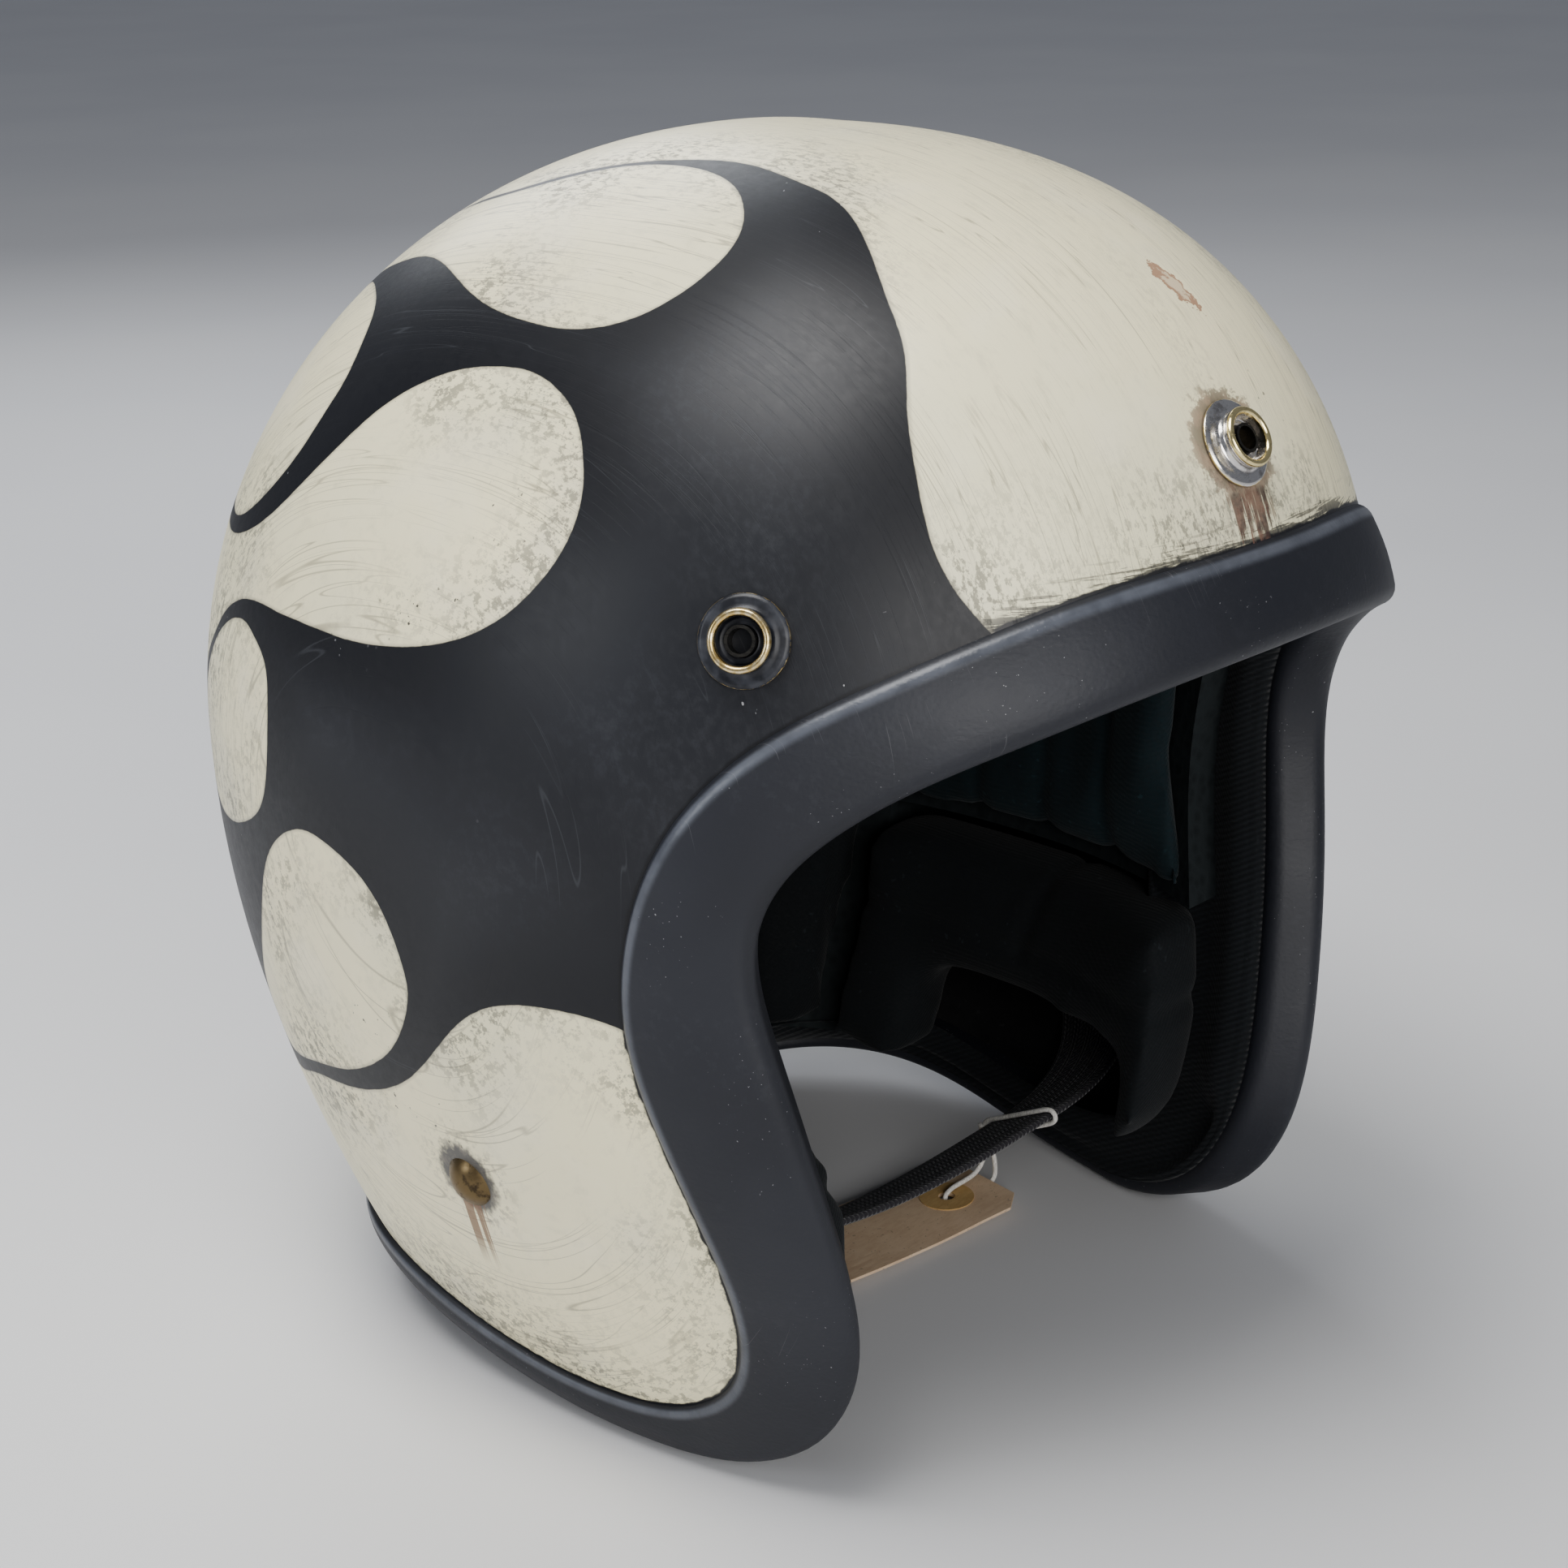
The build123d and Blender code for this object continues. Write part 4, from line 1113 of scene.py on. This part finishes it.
def band_seams(p):
    phi = np.degrees(np.arctan2(-p[:, 0], -p[:, 1]))
    r = np.hypot(p[:, 0], p[:, 1])
    out = np.zeros(len(p))
    for a in range(0, 180, 15):
        s = np.abs(np.sin(np.radians(phi - a - 7.5)))
        out += groove(s * r, 1.3, 2.2)
    return out


def cheek_seams(p):
    return groove(p[:, 2] + 74, 1.0, 2.2) + groove(p[:, 1] + 14 + 0.25 * (p[:, 2] + 70), 1.1, 2.2) * (p[:, 2] > -76)


def roll_seams(p):
    phi = np.degrees(np.arctan2(-p[:, 0], -p[:, 1]))
    r = np.hypot(p[:, 0], p[:, 1])
    out = np.zeros(len(p))
    for a in (126, 144, 162, 180, 198, 216, 234):
        s = np.abs(np.sin(np.radians(phi - a)))
        out += groove(s * r, 1.5, 2.6)
    return out


# ------------------------------------------------------------------
# chin straps
# ------------------------------------------------------------------
RIVET = Vector((0.0, -7.0, -70.4 + LEVEL))       # the common axis, millimetres before the shift
LONG_PATH = [(89.7, 7), (89.8, 14), (89.4, 20), (87.6, 26), (82.0, 34), (70.0, 40.3), (45.0, 43.6), (15.0, 44.4),
             (-12.0, 43.4), (-38.0, 39.6)]
SHORT_PATH = [(89.7, 7), (89.8, 13), (89.2, 18.5), (86.0, 24.9), (79.5, 29.6), (72.0, 31.3), (66.5, 31.3), (62.5, 31.3),
              (58.4, 31.5), (56.3, 33.0), (56.2, 35.7), (58.3, 37.3), (62.5, 37.5), (67.5, 35.8), (72.6, 33.5),
              (79.2, 32.0), (84.5, 28.6)]


def strap(name, path, thick, lean, body, node, mirror=False, half=11.0, twist=None):
    P = resample(spline(path, 900), 150)
    T = np.gradient(P, axis=0)
    T /= np.linalg.norm(T, axis=1)[:, None]
    N = np.stack([-T[:, 1], T[:, 0]], -1)
    sec = []
    r = thick / 2
    for k in range(5):
        a = math.pi / 2 - math.pi * k / 4
        sec.append((half - r + r * math.cos(a), r * math.sin(a)))
    mids = [half * (1 - 2 * k / 8) for k in range(1, 8)]
    lower = [(y, -r + 0.10 * math.sin(3 * y)) for y in mids]
    left = [(-y, h) for y, h in sec[::-1]]
    upper = [(-y, r + 0.10 * math.sin(3 * y)) for y in mids]
    ring = sec + lower + left + upper
    s, c = math.sin(math.radians(lean)), math.cos(math.radians(lean))
    vs, al, ac = [], [], []
    run = np.concatenate([[0], np.cumsum(np.linalg.norm(np.diff(P, axis=0), axis=1))])
    for i in range(len(P)):
        end = min(1.0, (run[i] + 0.3) / 1.2, (run[-1] - run[i] + 0.3) / 1.2)
        wob = 0.25 * math.sin(run[i] / 9.0)
        for w, h in ring:
            hh = h * (0.45 + 0.55 * end)
            x = P[i, 0] + N[i, 0] * hh
            d = P[i, 1] + N[i, 1] * hh
            y = w * (1 - 0.012 * (1 - end)) + wob
            Y = RIVET.y + y * c - d * s
            Z = RIVET.z - y * s - d * c
            vs.append(((-x if mirror else x) / 1000, (Y + SHIFT_Y) / 1000, Z / 1000))
            al.append(run[i])
            ac.append(w)
    m = len(ring)
    f = grid_faces(len(P), m, False, True)
    f.append(tuple(range(m))[::-1])
    f.append(tuple((len(P) - 1) * m + k for k in range(m)))
    o = make(name, vs, f, M["web"], body, (node,), attrs={"along": al, "across": ac})
    outward(o)
    return o


def stitches(name, lean, body, mirror, rows, lift):
    """thread pads along lines on the strap's inner face: rows of (x, drop, normal) runs"""
    bm = bmesh.new()
    s, c = math.sin(math.radians(lean)), math.cos(math.radians(lean))
    for (x0, d0, w0), (x1, d1, w1) in rows:
        n = max(2, int(math.dist((x0, d0, w0), (x1, d1, w1)) / 3.2))
        for k in range(n):
            a, b = (k + 0.18) / n, (k + 0.82) / n
            e = []
            for t in (a, b):
                x, d, w = x0 + (x1 - x0) * t, d0 + (d1 - d0) * t, w0 + (w1 - w0) * t
                Y, Z = RIVET.y + w * c - d * s, RIVET.z - w * s - d * c
                e.append(Vector(((-x if mirror else x) / 1000, (Y + SHIFT_Y) / 1000, Z / 1000)))
            mid, ax = (e[0] + e[1]) / 2, (e[1] - e[0])
            q = ax.to_track_quat("Z", "Y").to_matrix().to_4x4()
            ret = bmesh.ops.create_uvsphere(bm, u_segments=8, v_segments=6, radius=1.0)
            mt = Matrix.Translation(mid) @ q @ Matrix.Diagonal((0.00038, 0.00038, ax.length / 2 * 1.05, 1))
            bmesh.ops.transform(bm, matrix=mt, verts=ret["verts"])
    me = bpy.data.meshes.new(name)
    bm.to_mesh(me)
    bm.free()
    me.materials.append(M["thread"])
    me.polygons.foreach_set("use_smooth", [True] * len(me.polygons))
    o = bpy.data.objects.new(name, me)
    scene.collection.objects.link(o)
    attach(o, body)
    return o


M["thread"] = cloth("strap_thread", (0.05, 0.05, 0.056), (0.10, 0.10, 0.11), 1500)


# ------------------------------------------------------------------
# tag and its string, in millimetres before the shift
# ------------------------------------------------------------------
TAG_L, TAG_W, TAG_T, TAG_Z = 75.0, 28.0, 0.7, 1.3
TX = Vector((-math.cos(math.radians(-7)), -math.sin(math.radians(-7)), 0))
TY = Vector((0, 0, 1)).cross(TX)
TAG_END = Vector((48.9, -16.4, 0))
HOLE = 13.3


def tag_lift(u, v):
    """the card's own bend"""
    e = float(smoothstep(u, 30, 0))
    return 0.75 * e + 0.55 * float(smoothstep(u, 45, 75)) + 0.18 * math.sin(u / 11.0 + v / 9.0) * float(smoothstep(u, 4, 20))


def tag_point(u, v, z):
    p = TAG_END + TX * u + TY * v
    return ((p.x) / 1000, (p.y + SHIFT_Y) / 1000, (z + tag_lift(u, v)) / 1000)


def card(name, outline, hole_r, z0, t, mat, body, replaces, n=6):
    """flat card with a round hole: rings from the hole out to its outline"""
    H = len(outline)
    rings = []
    for k in range(n + 1):
        q = k / n
        q = q ** 1.6
        ring = []
        for (u, v) in outline:
            a = math.atan2(v, u - HOLE)
            hu, hv = HOLE + hole_r * math.cos(a), hole_r * math.sin(a)
            ring.append((hu + (u - hu) * q, hv + (v - hv) * q))
        rings.append(ring)
    vs, f = [], []
    b = min(0.16, t * 0.3)
    layers = [(0, z0 + t, 0)]
    top = [[tag_point(u, v, z0 + t) for u, v in r] for r in rings]
    bot = [[tag_point(u, v, z0) for u, v in r] for r in rings]
    for r in top:
        vs += r
    for r in bot:
        vs += r
    R = n + 1
    for i in range(n):
        for j in range(H):
            a, b2 = i * H + j, i * H + (j + 1) % H
            c, d = (i + 1) * H + (j + 1) % H, (i + 1) * H + j
            f.append((a, b2, c, d))
            o = R * H
            f.append((d + o, c + o, b2 + o, a + o))
    o = R * H
    for j in range(H):
        k = (j + 1) % H
        f.append((j, j + o, k + o, k))
        e = n * H
        f.append((e + k, e + k + o, e + j + o, e + j))
    ob = make(name, vs, f, mat, body, replaces, smooth=False)
    outward(ob)
    return ob


def outline_points():
    w = TAG_W / 2
    c = [(0.0, -w + 4.5), (5.5, -w), (TAG_L, -w), (TAG_L, w), (5.5, w), (0.0, w - 4.5)]
    out = []
    for i in range(len(c)):
        a, b = c[i], c[(i + 1) % len(c)]
        m = max(3, int(math.dist(a, b) / 2.5))
        for k in range(m):
            out.append((a[0] + (b[0] - a[0]) * k / m, a[1] + (b[1] - a[1]) * k / m))
    return out


def nurbs(name, points, radius, mat, body, replaces=()):
    cu = bpy.data.curves.new(name, "CURVE")
    cu.dimensions = "3D"
    sp = cu.splines.new("NURBS")
    sp.points.add(len(points) - 1)
    for q, p in zip(sp.points, points):
        q.co = (p[0] / 1000, (p[1] + SHIFT_Y) / 1000, p[2] / 1000, 1)
    sp.order_u = 3
    sp.use_endpoint_u = True
    sp.resolution_u = 8
    cu.bevel_depth = radius / 1000
    cu.bevel_resolution = 5
    cu.use_fill_caps = True
    cu.materials.append(mat)
    o = bpy.data.objects.new(name, cu)
    scene.collection.objects.link(o)
    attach(o, body)
    if replaces:
        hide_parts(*replaces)
    return o


STRING = [(48.0, -17.0, 16.3), (48.8, -15.9, 11.5), (48.6, -15.3, 7.0), (46.0, -15.0, 4.6), (41.5, -14.8, 4.2),
          (37.8, -14.6, 4.0), (35.3, -14.7, 3.2), (34.9, -14.9, 1.5), (36.6, -15.3, 0.80), (42.5, -16.1, 0.75),
          (47.8, -16.8, 0.85), (51.0, -17.1, 2.2), (51.2, -17.1, 6.0), (49.8, -17.0, 11.5), (48.3, -17.2, 16.2),
          (46.6, -16.2, 17.6), (48.2, -14.6, 17.2), (50.8, -14.4, 14.6), (53.2, -14.8, 12.0)]
_sw, _sn = Vector((0, math.cos(math.radians(27)), -math.sin(math.radians(27)))), Vector((0, math.sin(math.radians(27)), math.cos(math.radians(27))))
_sc = Vector((48.0, RIVET.y - 43.35 * math.sin(math.radians(27)), RIVET.z - 43.35 * math.cos(math.radians(27))))
WRAP = [tuple(_sc + _sw * w + _sn * n + Vector((x, 0, 0))) for w, n, x in
        [(12.0, -0.6, 0.3), (11.4, 1.9, 0.2), (6.0, 1.75, 0.0), (-6.0, 1.75, -0.2), (-11.4, 1.8, -0.3), (-12.6, 0.0, -0.3),
         (-11.4, -1.8, -0.2), (-6.0, -1.9, 0.1), (6.0, -1.9, 0.4), (11.2, -1.9, 0.6), (12.6, -0.9, 0.8)]]

string = nurbs("tag_string_strand", STRING, 0.6, M["cotton"], "tag", ("tag_string",))
wrap = nurbs("tag_string_wrap", WRAP, 0.6, M["cotton"], "long_strap")


def fibres(name, at, direction, count, length, radius, body):
    vs, f = [], []
    d0 = Vector(direction).normalized()
    for k in range(count):
        d = (d0 + Vector(RNG.normal(0, 0.33, 3))).normalized()
        side = d.orthogonal().normalized()
        up_ = d.cross(side)
        L = length * RNG.uniform(0.55, 1.0)
        base = len(vs)
        curl = Vector(RNG.normal(0, 0.35, 3))
        for j in range(5):
            t = j / 4
            p = Vector(at) + d * L * t + curl * L * 0.3 * t * t
            r = radius * (1 - 0.6 * t)
            for s in range(5):
                a = 2 * math.pi * s / 5
                q = p + side * math.cos(a) * r + up_ * math.sin(a) * r
                vs.append((q.x / 1000, (q.y + SHIFT_Y) / 1000, q.z / 1000))
        for j in range(4):
            for s in range(5):
                a, b = base + j * 5 + s, base + j * 5 + (s + 1) % 5
                f.append((a, b, b + 5, a + 5))
        f.append(tuple(base + s for s in range(5))[::-1])
        f.append(tuple(base + 20 + s for s in range(5)))
    o = make(name, vs, f, M["cotton"], body)
    outward(o)
    return o


def knot(name, at, size, radius, body, replaces):
    """a small tied knot: a trefoil of the same string"""
    pts = []
    m = 90
    for k in range(m):
        t = 2 * math.pi * k / m
        pts.append(Vector(((math.sin(t) + 2 * math.sin(2 * t)) * size, (math.cos(t) - 2 * math.cos(2 * t)) * size, -math.sin(3 * t) * size * 1.25)))
    vs = []
    for k in range(m):
        T = (pts[(k + 1) % m] - pts[k - 1]).normalized()
        a = T.cross(Vector((0.2, 0.3, 1))).normalized()
        b = T.cross(a)
        for s in range(10):
            g = 2 * math.pi * s / 10
            q = pts[k] + a * math.cos(g) * radius + b * math.sin(g) * radius
            vs.append(((at[0] + q.z) / 1000, (at[1] + q.x + SHIFT_Y) / 1000, (at[2] + q.y) / 1000))
    o = make(name, vs, grid_faces(m, 10, True, True), M["cotton"], body, replaces)
    outward(o)
    return o


fray = fibres("tag_string_fray", (53.0, -14.8, 12.2), (0.75, -0.1, -0.65), 16, 3.6, 0.10, "tag")
knot_ = knot("tag_string_knot", (48.2, -16.3, 16.0), 0.40, 0.52, "tag", ("string_knot",))


def curve_length(o):
    dg = bpy.context.evaluated_depsgraph_get()
    c = o.data.copy()
    c.bevel_depth = 0
    tmp = bpy.data.objects.new("tmp", c)
    scene.collection.objects.link(tmp)
    bpy.context.view_layer.update()
    me = bpy.data.meshes.new_from_object(tmp.evaluated_get(bpy.context.evaluated_depsgraph_get()))
    v = [q.co.copy() for q in me.vertices]
    L = sum((b - a).length for a, b in zip(v, v[1:]))
    bpy.data.objects.remove(tmp)
    bpy.data.meshes.remove(me)
    bpy.data.curves.remove(c)
    return L


print("string lengths", curve_length(string), curve_length(wrap))

tag = card("hang_tag_card", outline_points(), 2.0, TAG_Z, TAG_T, M["kraft"], "tag", ("hang_tag",), 9)
circle = [(HOLE + 6.6 * math.cos(2 * math.pi * k / 64), 6.6 * math.sin(2 * math.pi * k / 64)) for k in range(64)]
patch_top = card("tag_patch_top", circle, 2.0, TAG_Z + TAG_T + 0.01, 0.26, M["patch"], "tag", ("tag_patches",), 5)
patch_low = card("tag_patch_under", circle, 2.0, TAG_Z - 0.26, 0.25, M["patch"], "tag", ("tag_patches",), 5)

# ------------------------------------------------------------------
# build the helmet
# ------------------------------------------------------------------
shell = build_shell()
trim = sweep_rim("edge_trim_moulding", trim_section, M["rubber"], ("edge_trim",))
knit = sweep_rim("lining_binding_knit", knit_section, M["knit"], ("lining_binding",))

strap("strap_long_webbing", LONG_PATH, 1.8, 27.0, "long_strap", "strap_long")
strap("strap_short_webbing", SHORT_PATH, 1.5, 0.0, "short_strap", "strap_short", mirror=True)
stitches("strap_long_stitches", 27.0, "long_strap", False,
         [((88.7, 15.0, -8.6), (88.7, 15.0, 8.6)), ((88.2, 19.8, -8.6), (88.2, 19.8, 8.6)),
          ((88.7, 15.0, -8.6), (88.2, 19.8, -8.6)), ((88.7, 15.0, 8.6), (88.2, 19.8, 8.6))], 0)
stitches("strap_short_stitches", 0.0, "short_strap", True,
         [((79.0, 28.9, -8.4), (79.0, 28.9, 8.4)), ((72.0, 30.5, -8.4), (72.0, 30.5, 8.4)),
          ((79.0, 28.9, -8.4), (72.0, 30.5, -8.4)), ((79.0, 28.9, 8.4), (72.0, 30.5, 8.4))], 0)


def surface_axis(phi, z):
    e = 1e-3
    p = surf(phi, z)
    a = surf(phi + e, z) - p
    b = surf(phi, z + 0.05) - p
    n = np.cross(a, b)
    n /= np.linalg.norm(n)
    if n @ p < 0:
        n = -n
    return metres(p), n


STUD = rounded([(2.9, 0.05), (8.45, 0.05), (8.5, 0.5), (7.9, 0.95), (6.5, 1.15), (5.75, 1.45), (5.35, 2.3), (5.4, 2.9),
                (5.78, 3.25), (5.85, 3.85), (5.45, 4.4), (4.85, 4.4), (4.45, 4.0), (4.3, 2.6), (4.15, 1.8), (3.3, 1.6), (2.9, 1.75)], 0.34, 4)


def stud_wear(r, h):
    rim = float(smoothstep(h, 3.0, 3.9)) * (1 if r > 4.2 else 0)
    return max(rim, 0.62 * float(smoothstep(r, 8.2, 8.45)))


for name, phi, z, mat, slot in (("snap_stud_front", 0.0, 76.9, "chrome", "snap_chrome"),
                                ("snap_stud_right", math.radians(50.5), 51.2, "black_snap", "snap_black"),
                                ("snap_stud_left", -math.radians(50.5), 51.2, "black_snap", "snap_black")):
    o0, n0 = surface_axis(phi, z)
    lathe(name + "_turned", o0, n0, STUD, M[mat], "helmet", wear=stud_wear, replaces=(name,))

settle("crown_lining_cloth", "crown_lining", M["lining"], voxel=0.0045, cap=0.003, seams=crown_seams)
settle("headband_lining_cloth", "headband_lining", M["lining"], voxel=0.0036, cap=0.003, seams=band_seams)
settle("neck_roll_pad", "neck_roll", M["pad"], voxel=0.0042, cap=0.0035, seams=roll_seams)
settle("cheek_pad_right_cover", "cheek_pad_right", M["pad"], voxel=0.004, cap=0.0035, seams=cheek_seams,
       extra=[wedge(-1, -54, 22, -87, -72)], relax=9)
settle("cheek_pad_left_cover", "cheek_pad_left", M["pad"], voxel=0.004, cap=0.0035, seams=cheek_seams,
       extra=[wedge(1, -54, 22, -87, -72)], relax=9)


def dress(node, mat):
    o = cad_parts[node]
    if not o.material_slots:
        o.data.materials.append(M[mat])
    for s in o.material_slots:
        s.material = M[mat]


for node, mat in (("foam_liner", "foam"), ("snap_eyelets", "brass"), ("snap_backings", "zinc"), ("strap_rivet_left", "rivet"),
                  ("strap_rivet_right", "rivet"), ("rivet_spacers", "zinc"), ("clench_washers", "zinc"),
                  ("strap_hanger_left", "zinc"), ("strap_hanger_right", "zinc"), ("hanger_rivet_left", "zinc"),
                  ("hanger_rivet_right", "zinc"), ("d_ring_outer", "ring"), ("d_ring_inner", "ring"), ("keeper_snap", "chrome")):
    dress(node, mat)

# ------------------------------------------------------------------
# floor and light
# ------------------------------------------------------------------
fm = Mat("floor")
fm.set(Base_Color=fm.mix(fm.ss(fm.noise(3.0, 3), 0.3, 0.7), (0.70, 0.70, 0.71), (0.73, 0.73, 0.735)), Roughness=0.75)
bpy.ops.mesh.primitive_plane_add(size=14, location=(0, 0, -0.0003))
floor = bpy.context.active_object
floor.name = "floor"
floor.data.materials.append(fm.m)


def area(name, at, to, size, watts, colour=(1, 1, 1), size_y=None):
    d = bpy.data.lights.new(name, "AREA")
    d.energy, d.size, d.color = watts, size, colour
    if size_y:
        d.shape, d.size_y = "RECTANGLE", size_y
    o = bpy.data.objects.new(name, d)
    scene.collection.objects.link(o)
    o.location = at
    o.rotation_euler = (Vector(to) - Vector(at)).to_track_quat("-Z", "Y").to_euler()
    return o


area("front", (-0.70, -1.35, 0.62), (0, 0, 0.14), 1.15, 13.0, (1.0, 0.985, 0.96), 0.8)
area("top", (-0.42, 0.02, 1.30), (0, 0, 0.16), 0.70, 12.0, (1.0, 0.99, 0.97))
area("back", (0.45, 0.95, 0.85), (0, 0, 0.15), 0.6, 4.0, (0.93, 0.96, 1.0))
area("left", (-1.25, 0.45, 0.55), (0, 0, 0.12), 0.5, 3.0, (0.93, 0.96, 1.0))
world = bpy.data.worlds.new("studio")
world.use_nodes = True
world.node_tree.nodes["Background"].inputs[0].default_value = (0.86, 0.90, 1.0, 1)
world.node_tree.nodes["Background"].inputs[1].default_value = 0.22
scene.world = world
scene.view_settings.look = "AgX - Medium High Contrast"
